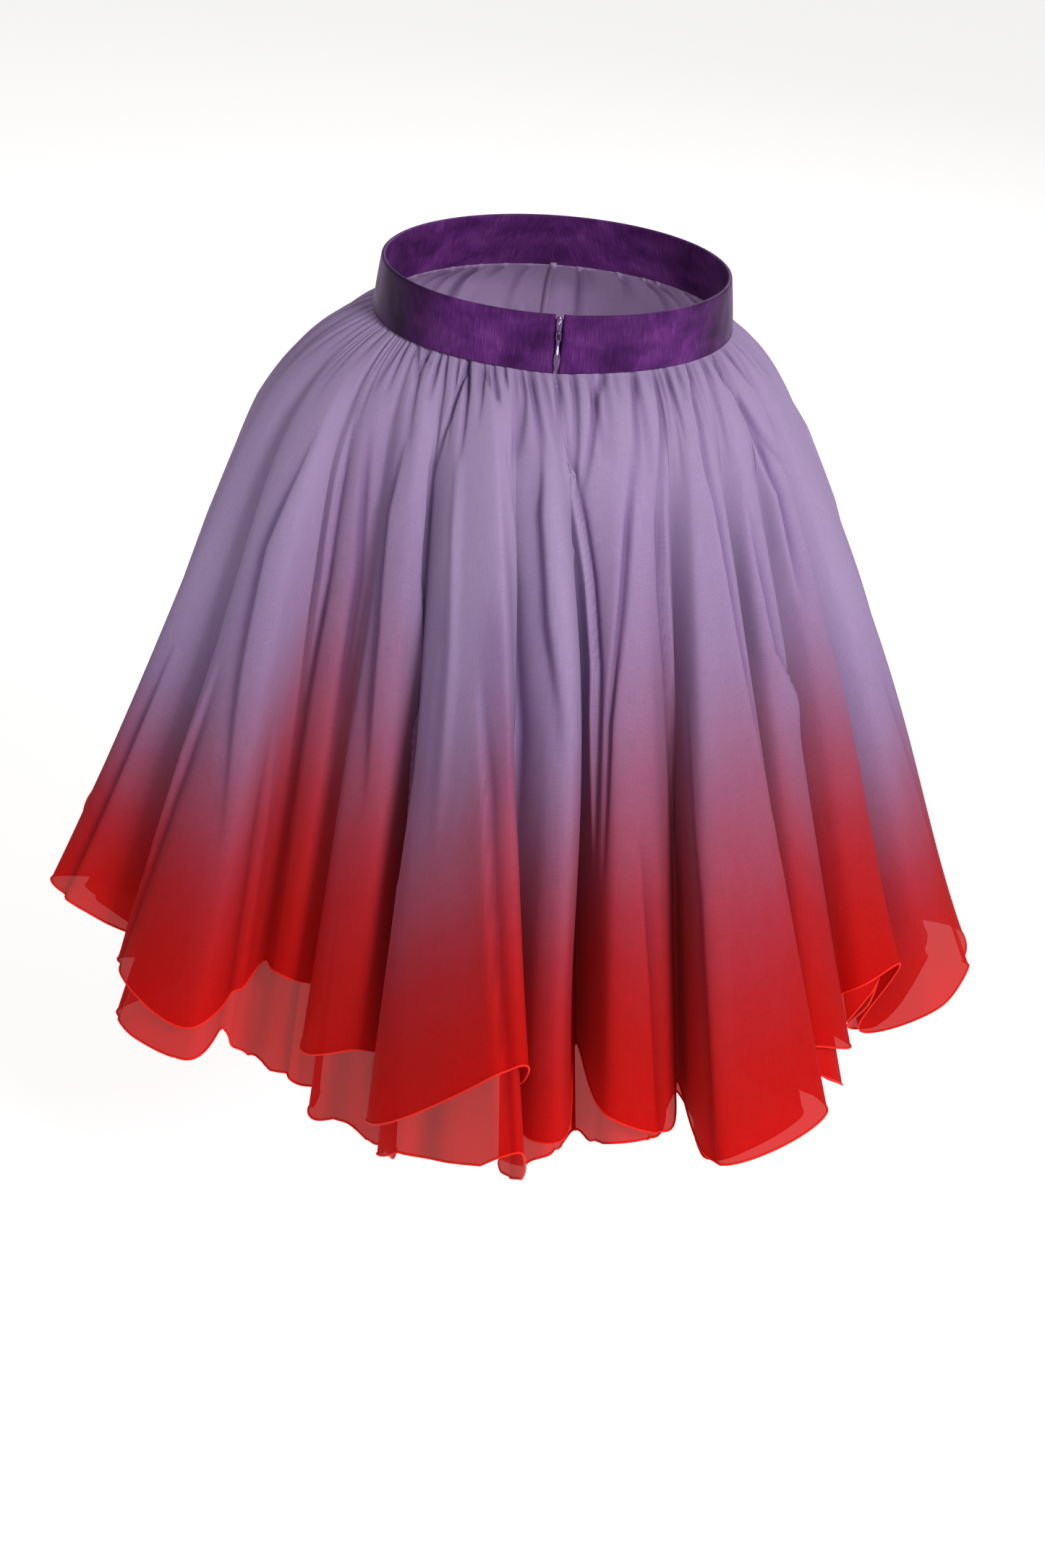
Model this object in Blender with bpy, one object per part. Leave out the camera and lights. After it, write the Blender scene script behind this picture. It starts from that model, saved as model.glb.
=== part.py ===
# Dip-dyed organza skirt, worn: a satin waistband, two gathered layers of organza and a zip.
# Metres, +Z up. The origin is the middle of the waist, halfway up the band. The skirt's front faces -Y,
# its centre back faces +Y, and the wearer's left is +X. Angles go round from the centre back to the left.
from collections import namedtuple
import math

import bmesh
import bpy
import numpy as np

MM = 0.001
CRISP_EDGE = 40            # degrees between two faces, past which the edge isn't shaded smooth

# Waistband
BAND_HEIGHT = 0.038
BAND_THICK = 0.003
BAND_TOP_WIDE = 0.118      # half of the band's width, outside, at its top edge
BAND_TOP_DEEP = 0.092      # half of its depth, outside, at its top edge
BAND_FLARE = 1.041         # how much larger the lower edge is
BAND_STEPS = 72
BAND_ROUND = 0.0010        # roundness of the folded upper edge
SLIT_TOP = 0.0027          # half of the gap between the band's ends, beside the slider
SLIT_LOW = 0.0013          # and at the lower edge
SLIT_NARROWS = 0.0012      # how far under the slider the gap starts to narrow

# Cloth
CLOTH_THICK = 0.0013       # walls are measured level, so a sloping one is a little thinner than this
STEEP_THICK = 0.0016       # just under the band, where the cloth slopes most
STEEP_TO = 0.2             # share of the drop down to which it does
HEM_THICK = 0.0020         # the rolled hem
SEAM_GAP = 0.0003
BAND_INSET = 0.0013        # the cloth starts this far inside the band's outer face
LAYER_GAP_TOP = 0.0021     # from the outer layer's face to the under layer's, at the band
LAYER_GAP = 0.0050         # and lower down
LAYER_GAP_DEPTH = 0.10     # share of the drop over which the gap opens
CURVE_LOSS = 0.985         # a drop is this share of what a straight run of cloth would give
SPRING = 0.15              # share of the run that the gathers push out just under the band
SPRING_DEPTH = 0.050       # share of the drop over which they do so
RUN_POWER = 1.04
FOLD_POWER = 0.30          # folds grow from the band down, a little later than the run does
MEAN_REACH = 0.310         # radius of the hem with its folds evened out
GATHER_TOP = 0.0006        # height of the gathers at the seam
GATHER_FULL = 0.0020       # and a little under it
GATHER_FULL_AT = 0.035
GATHER_END_AT = 0.34
GATHER_CREST = 0.5         # a wave above this share of its height is a crest, and those are uneven
GATHER_UNEVEN = (1.0, 0.7, 1.25, 0.85, 1.1, 0.6, 1.3)
GATHER_SPACING = 0.0030    # where columns are closer than this at the band, the gathers are lower
LEVELS = (0.0, 0.035, 0.10, 0.23, 0.46, 0.73, 1.0)
PAST_HEM = 1.06            # share of the drop towards which the under layer goes on below the hem
COLUMNS_PER_GATHER = 4
CURVE_STEPS = 24
CORNER_LIMIT = 1.7         # how far a wall's corner may stand out, in thicknesses
TUCK_TOWARDS = 0.7         # the under layer's folds draw back to this share of the mean reach

# One row for each fold, from the centre back round by the wearer's left, front and right.
# Angles in degrees, lengths in millimetres. Each fold starts in a valley and has a ridge with two edges,
# the rise and the fall. At is the angle and reach the distance from the axis at the hem, and cloth is the
# length down to the hem. waist_at is where the valley starts at the band, bow is how far the fold bends
# sideways on its way down, and tuck is how much less the under layer reaches. puff is how far the gathers
# push the cloth out over the hip, and belly how far it swings out halfway down.
Fold = namedtuple(
    "Fold",
    "waist_at valley_at valley_reach valley_cloth rise_at rise_reach rise_cloth "
    "fall_at fall_reach fall_cloth gathers bow tuck puff belly",
)
FOLDS = (
    Fold(0, -11.0, 240, 470, -5.4, 348, 510, -2.6, 342, 511, 2, -16, 40, 0, 0),
    Fold(14, 0.8, 296, 498, -0.2, 383, 456, 14.5, 358, 508, 5, -4, 16, 0, 0),
    Fold(37, 17.4, 262, 490, 19.5, 305, 472, 28.5, 300, 488, 2, 0, 18, 0, 0),
    Fold(49, 32.0, 252, 455, 35.0, 268, 450, 38.5, 268, 450, 3, 0, 10, 4, 0),
    Fold(61, 43.6, 256, 455, 42.9, 326, 503, 58.5, 330, 497, 4, 0, 8, 18, 0),
    Fold(75, 62.5, 275, 496, 68.0, 324, 493, 76.0, 352, 496, 4, 0, 20, 34, 0),
    Fold(90, 84.0, 282, 494, 90.0, 328, 500, 101.0, 332, 500, 3, 0, 18, 33, 0),
    Fold(112, 108.0, 280, 500, 114.5, 334, 500, 124.0, 340, 500, 3, 6, 16, 24, 0),
    Fold(135, 131.5, 292, 500, 138.0, 350, 500, 149.0, 344, 500, 3, 0, 18, 16, 4),
    Fold(157, 155.0, 284, 500, 161.5, 340, 500, 172.0, 338, 500, 3, -6, 16, 12, 6),
    Fold(180, 178.5, 280, 500, 185.5, 335, 500, 197.0, 346, 500, 3, 0, 18, 16, 4),
    Fold(203, 203.0, 292, 500, 209.0, 350, 500, 220.0, 344, 500, 3, 6, 16, 12, 8),
    Fold(226, 226.5, 280, 500, 233.0, 338, 500, 243.0, 334, 500, 3, 0, 18, 10, 10),
    Fold(248, 249.0, 286, 500, 255.5, 336, 500, 266.0, 332, 500, 3, 0, 16, 4, 13),
    Fold(270, 273.0, 288, 500, 283.0, 352, 504, 298.0, 356, 514, 4, 0, 24, 2, 14),
    Fold(286, 301.5, 304, 520, 303.5, 330, 462, 311.0, 325, 456, 2, 0, 12, 0, 10),
    Fold(296, 313.5, 290, 474, 315.5, 338, 492, 322.0, 336, 478, 2, 0, 6, 0, 4),
    Fold(308, 324.5, 282, 482, 327.0, 385, 510, 338.9, 384, 530, 4, 0, 20, 0, 0),
    Fold(328, 336.0, 286, 492, 341.2, 332, 512, 348.2, 324, 498, 4, 0, 16, 0, 0),
)
PUFF_SPREADS = 0.10        # share of the drop over which the cloth over the hip is pushed out
PUFF_FADES = 1.2           # and how it comes back in towards the hem

# How far the under layer's hem hangs below the outer one: number of the column, millimetres
Longer = namedtuple("Longer", "number length")
LONGER = (
    Longer(0, 76), Longer(4, 42), Longer(8, 46), Longer(10, 58), Longer(12, 70), Longer(16, 66),
    Longer(20, 34), Longer(24, 30), Longer(28, 72), Longer(30, 76), Longer(32, 62), Longer(34, 60),
    Longer(36, 82), Longer(44, 84), Longer(48, 80), Longer(50, 32), Longer(54, 32), Longer(56, 37),
    Longer(60, 46), Longer(63, 26), Longer(67, 8), Longer(76, 6), Longer(80, 20), Longer(92, 30),
    Longer(104, 22), Longer(116, 34), Longer(128, 26), Longer(140, 20), Longer(152, 30), Longer(164, 24),
    Longer(176, 10), Longer(186, 2), Longer(192, 2), Longer(196, 26), Longer(200, 38), Longer(204, 30),
    Longer(208, 14), Longer(224, 14), Longer(230, 20), Longer(236, 48),
)
LEFT_SEAM = 6      # number of the fold that starts at the left side seam
FRONT_SEAM = 10    # at the centre front seam
RIGHT_SEAM = 14    # and at the right side seam

# Zip
ZIP_AXIS_HEIGHT = 0.008    # height of the pull tab's pin
ZIP_AXIS_OUT = 0.0013      # its distance outside the band's face
SLIDER_WIDE = 0.0042
SLIDER_TOP = 0.0182        # height of the slider's upper end
SLIDER_LOW = 0.0052        # and of its lower end
SLIDER_PROUD = 0.0004      # how far its face stands outside the band
SLIDER_DEEP = 0.0030
SLIDER_ROUND = 0.0007
STAPLE_BAR = 0.0008
STAPLE_WIDE = 0.0010
STAPLE_CLEAR = 0.00095     # half of the room inside the staple, for the pull tab's pin to turn in
STAPLE_STEPS = 6
STAPLE_ROOT = 0.0005       # how deep the staple's feet go into the slider
PULL_THICK = 0.0010
CUTTER_DEEP = 0.0030       # the cutter for its hole comes out well past both faces
TAPE_WIDE = 0.018
TAPE_THICK = 0.0010
TAPE_TOP = 0.0150
TAPE_LOW = -0.158          # height of its lower end
TAPE_STAND_OFF = 0.0018    # from the under layer's inner face to the tape
TAPE_CLEAR = 0.0126        # the tape lies clear of the layer this far to each side of the centre back
COIL_WIDE = 0.0020
COIL_HIGH = 0.0024

# Half widths of the teardrop pull tab and of the hole in it, from its pin down, in millimetres
Width = namedtuple("Width", "down half")
PULL_WIDTHS = (
    Width(-0.4, 1.30), Width(0.4, 1.75), Width(5.2, 1.70), Width(6.6, 0.95), Width(9.0, 0.85),
    Width(12.4, 1.20), Width(15.6, 1.95), Width(17.4, 2.20), Width(19.4, 2.20), Width(22.4, 1.65),
    Width(25.4, 0.90), Width(27.2, 0.35),
)
PULL_HOLE = (Width(0.4, 0.95), Width(4.2, 0.95), Width(5.6, 0.45))

Column = namedtuple("Column", "waist hem mean drop tuck bow puff belly longer")


def material(name, colour, roughness, metallic=0.0):
    """A plain finish for one sub-part."""
    made = bpy.data.materials.new(name)
    made.use_nodes = True
    shader = made.node_tree.nodes["Principled BSDF"]
    shader.inputs["Base Color"].default_value = (*colour, 1.0)
    shader.inputs["Roughness"].default_value = roughness
    shader.inputs["Metallic"].default_value = metallic
    return made


def add_object(name, vertices, faces, finish, parent=None):
    """A mesh object from points and faces, shaded smooth but for its hard edges."""
    mesh = bpy.data.meshes.new(name)
    mesh.from_pydata([tuple(map(float, v)) for v in vertices], [], faces)
    closed = bmesh.new()
    closed.from_mesh(mesh)
    bmesh.ops.recalc_face_normals(closed, faces=closed.faces)
    closed.to_mesh(mesh)
    closed.free()
    mesh.materials.append(finish)
    mesh.shade_smooth()
    mesh.set_sharp_from_angle(angle=math.radians(CRISP_EDGE))
    made = bpy.data.objects.new(name, mesh)
    bpy.context.scene.collection.objects.link(made)
    made.parent = parent
    return made


def tube_faces(rings, sides):
    """Faces of a solid run of equal rings, with both ends filled."""
    faces = [
        (i * sides + j, (i + 1) * sides + j, (i + 1) * sides + (j + 1) % sides, i * sides + (j + 1) % sides)
        for i in range(rings - 1)
        for j in range(sides)
    ]
    return faces + [tuple(range(sides)), tuple((rings - 1) * sides + j for j in reversed(range(sides)))]


def round_axis(wide, deep, degrees):
    angle = math.radians(degrees)
    return np.array((wide * math.sin(angle), deep * math.cos(angle)))


def smooth_loop(points):
    """A closed curve through the points. Its pace follows the root of their spacing, so that tight
    corners get no loops."""
    count = len(points)
    pace = [math.sqrt(np.linalg.norm(points[(i + 1) % count][:2] - points[i][:2])) for i in range(count)]
    slopes = []
    for i in range(count):
        before, after = pace[i - 1], pace[i]
        back = (points[i] - points[i - 1]) / before
        ahead = (points[(i + 1) % count] - points[i]) / after
        slopes.append((back * after + ahead * before) / (before + after))
    samples = []
    for i in range(count):
        start, end = points[i], points[(i + 1) % count]
        for s in np.arange(CURVE_STEPS) / CURVE_STEPS:
            ease = s * s * (3 - 2 * s)
            samples.append(
                start * (1 - ease)
                + end * ease
                + slopes[i] * pace[i] * s * (1 - s) ** 2
                - slopes[(i + 1) % count] * pace[i] * s * s * (1 - s)
            )
    return np.array(samples)


def make_columns():
    """The lines of cloth that run from the band to the hem, evenly spaced along each fold."""
    points = []
    for fold in FOLDS:
        for at, reach, cloth, tuck in (
            (fold.valley_at, fold.valley_reach, fold.valley_cloth, 0),
            (fold.rise_at, fold.rise_reach, fold.rise_cloth, fold.tuck),
            (fold.fall_at, fold.fall_reach, fold.fall_cloth, fold.tuck),
        ):
            points.append(np.array((*round_axis(reach, reach, at), cloth, tuck)) * MM)
    curve = smooth_loop(points)
    around = len(curve)
    total = COLUMNS_PER_GATHER * sum(fold.gathers for fold in FOLDS)
    longer_at, longer_by = zip(*LONGER)
    columns = []
    for i, fold in enumerate(FOLDS):
        after = FOLDS[(i + 1) % len(FOLDS)]
        turn = 360 if i + 1 == len(FOLDS) else 0
        stretch = np.array([curve[(3 * i * CURVE_STEPS + s) % around] for s in range(3 * CURVE_STEPS + 1)])
        length = np.concatenate(([0], np.cumsum(np.linalg.norm(np.diff(stretch[:, :2], axis=0), axis=1))))
        count = fold.gathers * COLUMNS_PER_GATHER
        for j in range(count):
            share = j / count
            hem = np.array([np.interp(share * length[-1], length, stretch[:, axis]) for axis in range(4)])
            waist_at = fold.waist_at + (after.waist_at + turn - fold.waist_at) * share
            mean_at = fold.valley_at + (after.valley_at + turn - fold.valley_at) * share
            mean = round_axis(MEAN_REACH, MEAN_REACH, mean_at)
            waist = round_axis(BAND_TOP_WIDE * BAND_FLARE, BAND_TOP_DEEP * BAND_FLARE, waist_at)
            run = np.linalg.norm(hem[:2] - waist)
            drop = math.sqrt(hem[2] ** 2 - run ** 2) * CURVE_LOSS
            columns.append(Column(
                waist, hem[:2], mean, drop, max(0.0, hem[3]),
                fold.bow * MM * math.sin(math.pi * share),
                (fold.puff + (after.puff - fold.puff) * share) * MM,
                (fold.belly + (after.belly - fold.belly) * share) * MM,
                np.interp(len(columns), longer_at, longer_by, period=total) * MM,
            ))
    return columns


def run_share(level):
    """How far out the cloth is, as a share of its whole run, at a share of its drop."""
    spring = SPRING * (1 - math.exp(-level / SPRING_DEPTH))
    return spring + (1 - SPRING) * level ** RUN_POWER


def gather_height(level):
    if level <= GATHER_FULL_AT:
        return GATHER_TOP + (GATHER_FULL - GATHER_TOP) * level / GATHER_FULL_AT
    return GATHER_FULL * max(0.0, (GATHER_END_AT - level) / (GATHER_END_AT - GATHER_FULL_AT))


def side_steps(points):
    """For each point of a closed level curve, the step that moves both its sides out by one."""
    ahead = np.roll(points, -1, axis=0) - points
    ahead /= np.linalg.norm(ahead, axis=1)[:, None]
    out = np.stack((-ahead[:, 1], ahead[:, 0]), axis=1)
    both = out + np.roll(out, 1, axis=0)
    long = np.linalg.norm(both, axis=1)[:, None]
    return both / long * np.minimum(2 / long, CORNER_LIMIT)


def cloth_level(columns, level, inside, thick=CLOTH_THICK):
    """Face and back of one layer at a share of its drop. Past 1 it hangs below the outer hem."""
    if 0 < level < STEEP_TO:
        thick = STEEP_THICK
    flare = run_share(level)
    fold = flare * level ** FOLD_POWER
    above_hem = max(0.0, 1 - level)
    puffed = (1 - math.exp(-level / PUFF_SPREADS)) * above_hem ** PUFF_FADES
    swung = math.sin(math.pi * above_hem) ** 2
    plan, gathers = [], []
    for number, column in enumerate(columns):
        out = column.waist / np.linalg.norm(column.waist)
        across = np.array((out[1], -out[0]))
        waist = column.waist - out * BAND_INSET
        at = waist + (column.mean - waist) * flare + (column.hem - column.mean) * fold
        at = at + out * (column.puff * puffed + column.belly * swung)
        plan.append(at + across * column.bow * math.sin(math.pi * min(1.0, flare)) ** 2)
        wave = -math.cos(2 * math.pi * number / COLUMNS_PER_GATHER)
        if wave > GATHER_CREST:
            wave *= GATHER_UNEVEN[number // COLUMNS_PER_GATHER % len(GATHER_UNEVEN)]
        spacing = np.linalg.norm(column.waist - columns[number - 1].waist)
        gathers.append(out * wave * gather_height(level) * min(1.0, spacing / GATHER_SPACING))
    plan = np.array(plan)
    if inside:
        depth = min(1.0, level / LAYER_GAP_DEPTH)
        plan -= side_steps(plan) * (LAYER_GAP_TOP + (LAYER_GAP - LAYER_GAP_TOP) * depth)
        for number, column in enumerate(columns):
            back = column.mean * TUCK_TOWARDS - column.hem
            plan[number] += back / np.linalg.norm(back) * column.tuck * fold
    plan += np.array(gathers)
    top = -BAND_HEIGHT / 2 - SEAM_GAP
    height = np.array([top - column.drop * level for column in columns])
    back = plan - side_steps(plan) * thick
    return np.column_stack((plan, height)), np.column_stack((back, height))


def add_cloth(name, levels, first, last, finish):
    """One panel of a layer: a wall between two of its columns, closed at its seams, top and hem."""
    count = last - first + 1
    vertices = []
    for face in (0, 1):
        for pair in levels:
            row = pair[face]
            around = len(row)
            panel = np.array([row[j % around] for j in range(first, last + 1)])
            for end, beside in ((0, 1), (-1, -2)):
                along = panel[beside] - panel[end]
                panel[end] += along / np.linalg.norm(along) * SEAM_GAP / 2
            vertices.extend(panel)
    rows = len(levels)
    inner = rows * count
    faces = []
    for i in range(rows - 1):
        for j in range(count - 1):
            a, b = i * count + j, (i + 1) * count + j
            faces.append((a, a + 1, b + 1, b))
            faces.append((inner + a, inner + b, inner + b + 1, inner + a + 1))
    low = (rows - 1) * count
    for j in range(count - 1):
        faces.append((j, inner + j, inner + j + 1, j + 1))
        faces.append((low + j, low + j + 1, inner + low + j + 1, inner + low + j))
    for i in range(rows - 1):
        a, b = i * count, (i + 1) * count
        faces.append((a, b, inner + b, inner + a))
        a, b = a + count - 1, b + count - 1
        faces.append((a, inner + a, inner + b, b))
    return add_object(name, vertices, faces, finish)


def band_half(height):
    """Half width and half depth of the band's outer face at a height."""
    low = 0.5 - height / BAND_HEIGHT
    share = 1 + (BAND_FLARE - 1) * low
    return BAND_TOP_WIDE * share, BAND_TOP_DEEP * share


def make_band(finish):
    """A doubled strip whose two ends stand either side of the zip."""
    top = BAND_HEIGHT / 2
    narrows_at = SLIDER_LOW - SLIT_NARROWS
    section = (
        (0.0, -top), (0.0, narrows_at), (0.0, top - BAND_ROUND), (BAND_ROUND, top),
        (BAND_THICK - BAND_ROUND, top), (BAND_THICK, top - BAND_ROUND), (BAND_THICK, narrows_at),
        (BAND_THICK, -top),
    )
    vertices = []
    for step in range(BAND_STEPS + 1):
        for inset, height in section:
            wide, deep = band_half(height)
            slit = SLIT_LOW + (SLIT_TOP - SLIT_LOW) * min(1.0, (height + top) / (narrows_at + top))
            end = math.degrees(math.asin(slit / wide))
            at = end + (360 - 2 * end) * step / BAND_STEPS
            plan = round_axis(wide - inset, deep - inset, at)
            if step in (0, BAND_STEPS):
                plan[0] = slit if step == 0 else -slit
            vertices.append((*plan, height))
    return add_object("waistband", vertices, tube_faces(BAND_STEPS + 1, len(section)), finish)


def strip(name, path, wide, thick, finish, parent=None):
    """A flat strip across X along a path in Y and Z, whose points are on its outer face."""
    vertices = []
    for i, (y, z) in enumerate(path):
        y0, z0 = path[max(i - 1, 0)]
        y1, z1 = path[min(i + 1, len(path) - 1)]
        long = math.hypot(y1 - y0, z1 - z0)
        inward = ((z1 - z0) / long * thick, -(y1 - y0) / long * thick)
        for x, depth in ((-wide / 2, 0), (wide / 2, 0), (wide / 2, 1), (-wide / 2, 1)):
            vertices.append((x, y + inward[0] * depth, z + inward[1] * depth))
    return add_object(name, vertices, tube_faces(len(path), 4), finish, parent)


def plate(name, widths, thick, finish, parent=None):
    """A flat plate across Y, symmetrical in X, from half widths down its length."""
    right = [(w.half * MM, -w.down * MM) for w in widths]
    outline = right + [(-x, z) for x, z in reversed(right)]
    count = len(outline)
    vertices = [(x, thick / 2, z) for x, z in outline] + [(x, -thick / 2, z) for x, z in outline]
    faces = [tuple(reversed(range(count))), tuple(range(count, 2 * count))]
    faces += [(j, (j + 1) % count, count + (j + 1) % count, count + j) for j in range(count)]
    return add_object(name, vertices, faces, finish, parent)


def combine(target, other, operation):
    """Joins another solid to the target or cuts it away, with the other kept as a guide."""
    change = target.modifiers.new(other.name, "BOOLEAN")
    change.operation = operation
    change.solver = "EXACT"
    change.object = other
    other.hide_render = True
    other.display_type = "WIRE"


def make_slider(finish, parent):
    """The slider's body, and the staple on it that the pull tab hooks into."""
    face = SLIDER_PROUD - ZIP_AXIS_OUT
    half = SLIDER_WIDE / 2
    section = (
        (half - SLIDER_ROUND, face), (SLIDER_ROUND - half, face), (-half, face - SLIDER_ROUND),
        (-half, face - SLIDER_DEEP), (half, face - SLIDER_DEEP), (half, face - SLIDER_ROUND),
    )
    ends = (SLIDER_TOP - ZIP_AXIS_HEIGHT, SLIDER_LOW - ZIP_AXIS_HEIGHT)
    vertices = [(x, y, z) for z in ends for x, y in section]
    body = add_object("zip_slider", vertices, tube_faces(2, len(section)), finish, parent)
    middle = STAPLE_CLEAR + STAPLE_BAR / 2
    path = [(face - STAPLE_ROOT, middle)]
    for step in range(STAPLE_STEPS + 1):
        angle = math.pi / 2 - math.pi * step / STAPLE_STEPS
        path.append((middle * math.cos(angle), middle * math.sin(angle)))
    path.append((face - STAPLE_ROOT, -middle))
    vertices = []
    for i, (y, z) in enumerate(path):
        y0, z0 = path[max(i - 1, 0)]
        y1, z1 = path[min(i + 1, len(path) - 1)]
        long = math.hypot(y1 - y0, z1 - z0)
        out = (-(z1 - z0) / long * STAPLE_BAR / 2, (y1 - y0) / long * STAPLE_BAR / 2)
        for x, side in ((1, 1), (-1, 1), (-1, -1), (1, -1)):
            vertices.append((x * STAPLE_WIDE / 2, y + out[0] * side, z + out[1] * side))
    staple = add_object("zip_staple_guide", vertices, tube_faces(len(path), 4), finish, parent)
    combine(body, staple, "UNION")
    return body


def room_inside(levels, height):
    """How far back the tape can lie at a height without touching the layer in front of it."""
    inner = np.array([pair[1] for pair in levels])
    reaches = []
    for column in range(inner.shape[1]):
        x, y, z = inner[::-1, column].T
        if y[-1] > 0 and abs(np.interp(height, z, x)) < TAPE_CLEAR:
            reaches.append(np.interp(height, z, y))
    return min(reaches) - TAPE_STAND_OFF


def make_zip(under_levels, tape_finish, metal_finish):
    """Tape and coil in the slit, slider, and a pull tab whose pin is on the parent's X axis."""
    deep = band_half(ZIP_AXIS_HEIGHT)[1]
    lean = math.atan2(BAND_TOP_DEEP * (BAND_FLARE - 1), BAND_HEIGHT)
    axis = bpy.data.objects.new("zip_axis", None)
    bpy.context.scene.collection.objects.link(axis)
    axis.location = (0.0, deep + ZIP_AXIS_OUT, ZIP_AXIS_HEIGHT)
    axis.rotation_euler = (lean, 0.0, 0.0)
    make_slider(metal_finish, axis)
    pull = plate("zip_pull", PULL_WIDTHS, PULL_THICK, metal_finish, axis)
    hole = plate("zip_pull_hole_guide", PULL_HOLE, CUTTER_DEEP, metal_finish, axis)
    combine(pull, hole, "DIFFERENCE")

    top = band_half(TAPE_TOP)[1] - BAND_THICK - 2 * SEAM_GAP
    low = room_inside(under_levels, -BAND_HEIGHT / 2 - SEAM_GAP)
    path = [(top, TAPE_TOP), (low, -BAND_HEIGHT / 2)]
    coil = []
    for height in (SLIDER_LOW - 2 * SEAM_GAP, SEAM_GAP - BAND_HEIGHT / 2):
        share = (TAPE_TOP - height) / (TAPE_TOP + BAND_HEIGHT / 2)
        coil.append((top + (low - top) * share + COIL_HIGH, height))
    for height in [pair[1][0][2] for pair in under_levels[1:4]] + [TAPE_LOW]:
        path.append((room_inside(under_levels, height), height))
    tape = strip("zip_tape", path, TAPE_WIDE, TAPE_THICK, tape_finish)
    ridge = strip("zip_coil_guide", coil, COIL_WIDE, COIL_HIGH + TAPE_THICK / 2, tape_finish)
    combine(tape, ridge, "UNION")


def main():
    for old in list(bpy.data.objects):
        bpy.data.objects.remove(old)
    satin = material("plum satin", (0.075, 0.018, 0.135), 0.42)
    organza = material("dip-dyed organza", (0.42, 0.20, 0.40), 0.60)
    under_organza = material("dip-dyed under organza", (0.50, 0.06, 0.08), 0.60)
    woven = material("woven zip tape", (0.060, 0.016, 0.105), 0.75)
    enamel = material("lilac enamel", (0.24, 0.13, 0.32), 0.25, 0.3)

    make_band(satin)
    columns = make_columns()
    starts = [0]
    for fold in FOLDS:
        starts.append(starts[-1] + fold.gathers * COLUMNS_PER_GATHER)
    panels = (
        ("left_back", 0, starts[LEFT_SEAM]),
        ("left_front", starts[LEFT_SEAM], starts[FRONT_SEAM]),
        ("right_front", starts[FRONT_SEAM], starts[RIGHT_SEAM]),
        ("right_back", starts[RIGHT_SEAM], starts[-1]),
    )
    outer_levels = [cloth_level(columns, level, 0) for level in LEVELS[:-1]]
    outer_levels.append(cloth_level(columns, LEVELS[-1], 0, HEM_THICK))
    under_levels = [cloth_level(columns, level, 1) for level in LEVELS]
    # Each column of the under layer goes on past the outer hem by its own length
    hem, beyond = under_levels[-1], cloth_level(columns, PAST_HEM, 1, HEM_THICK)
    longer = np.array([column.longer for column in columns])[:, None]
    under_levels.append(tuple(
        hem[face] + (beyond[face] - hem[face]) * longer / np.linalg.norm(beyond[0] - hem[0], axis=1)[:, None]
        for face in (0, 1)
    ))
    for part, first, last in panels:
        add_cloth("outer_" + part, outer_levels, first, last, organza)
        add_cloth("under_" + part, under_levels, first, last, under_organza)
    make_zip(under_levels, woven, enamel)


main()
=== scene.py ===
# Organza skirt, as worn: a plum satin waistband over two gathered layers of dip-dyed silk organza, closed by an
# invisible zip. Metres, +Z up. The back with the zip faces +Y, and the wearer's left is +X.
from collections import namedtuple
import math

import bpy
import numpy as np
from mathutils import Matrix, Vector


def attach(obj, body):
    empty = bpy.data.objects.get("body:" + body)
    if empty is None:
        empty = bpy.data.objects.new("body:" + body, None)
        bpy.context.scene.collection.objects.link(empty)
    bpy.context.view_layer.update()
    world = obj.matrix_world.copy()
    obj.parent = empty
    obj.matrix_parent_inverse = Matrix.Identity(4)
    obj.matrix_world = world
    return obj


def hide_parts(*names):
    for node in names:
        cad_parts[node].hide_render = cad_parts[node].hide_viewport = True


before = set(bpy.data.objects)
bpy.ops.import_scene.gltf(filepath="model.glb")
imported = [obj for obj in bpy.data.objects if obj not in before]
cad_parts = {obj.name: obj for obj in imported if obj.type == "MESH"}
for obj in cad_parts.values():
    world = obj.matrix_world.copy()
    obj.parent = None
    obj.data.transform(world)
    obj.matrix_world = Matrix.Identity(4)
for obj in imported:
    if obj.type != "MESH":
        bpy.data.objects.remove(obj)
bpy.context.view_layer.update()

# Camera
# The photo was taken from behind and above, with the camera turned 4.8 degrees about its own view.
# Its lens is in pixels of the 1445 x 2168 photo, and its long side is Blender's 36 mm sensor.
PHOTO_HIGH = 2168
SENSOR_LONG = 36
LENS_PIXELS = 3339
CAMERA_AZIMUTH = math.radians(177.22)
CAMERA_AWAY = 1.55
CAMERA_HEIGHT = 0.6112
CAMERA_AIM = Vector((-0.0059, 0, -0.4003))
CAMERA_ROLL = math.radians(4.8)

scene = bpy.context.scene
lens = bpy.data.cameras.new("camera")
lens.sensor_width = SENSOR_LONG
lens.lens = LENS_PIXELS / PHOTO_HIGH * SENSOR_LONG
camera = bpy.data.objects.new("camera", lens)
scene.collection.objects.link(camera)
place = Vector((math.sin(CAMERA_AZIMUTH) * CAMERA_AWAY, -math.cos(CAMERA_AZIMUTH) * CAMERA_AWAY,
                CAMERA_HEIGHT))
forward = (CAMERA_AIM - place).normalized()
right = forward.cross(Vector((0, 0, 1))).normalized()
up = right.cross(forward)
right, up = (
    right * math.cos(CAMERA_ROLL) + up * math.sin(CAMERA_ROLL),
    up * math.cos(CAMERA_ROLL) - right * math.sin(CAMERA_ROLL),
)
camera.matrix_world = Matrix.Translation(place) @ Matrix((right, up, -forward)).transposed().to_4x4()
scene.camera = camera

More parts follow.
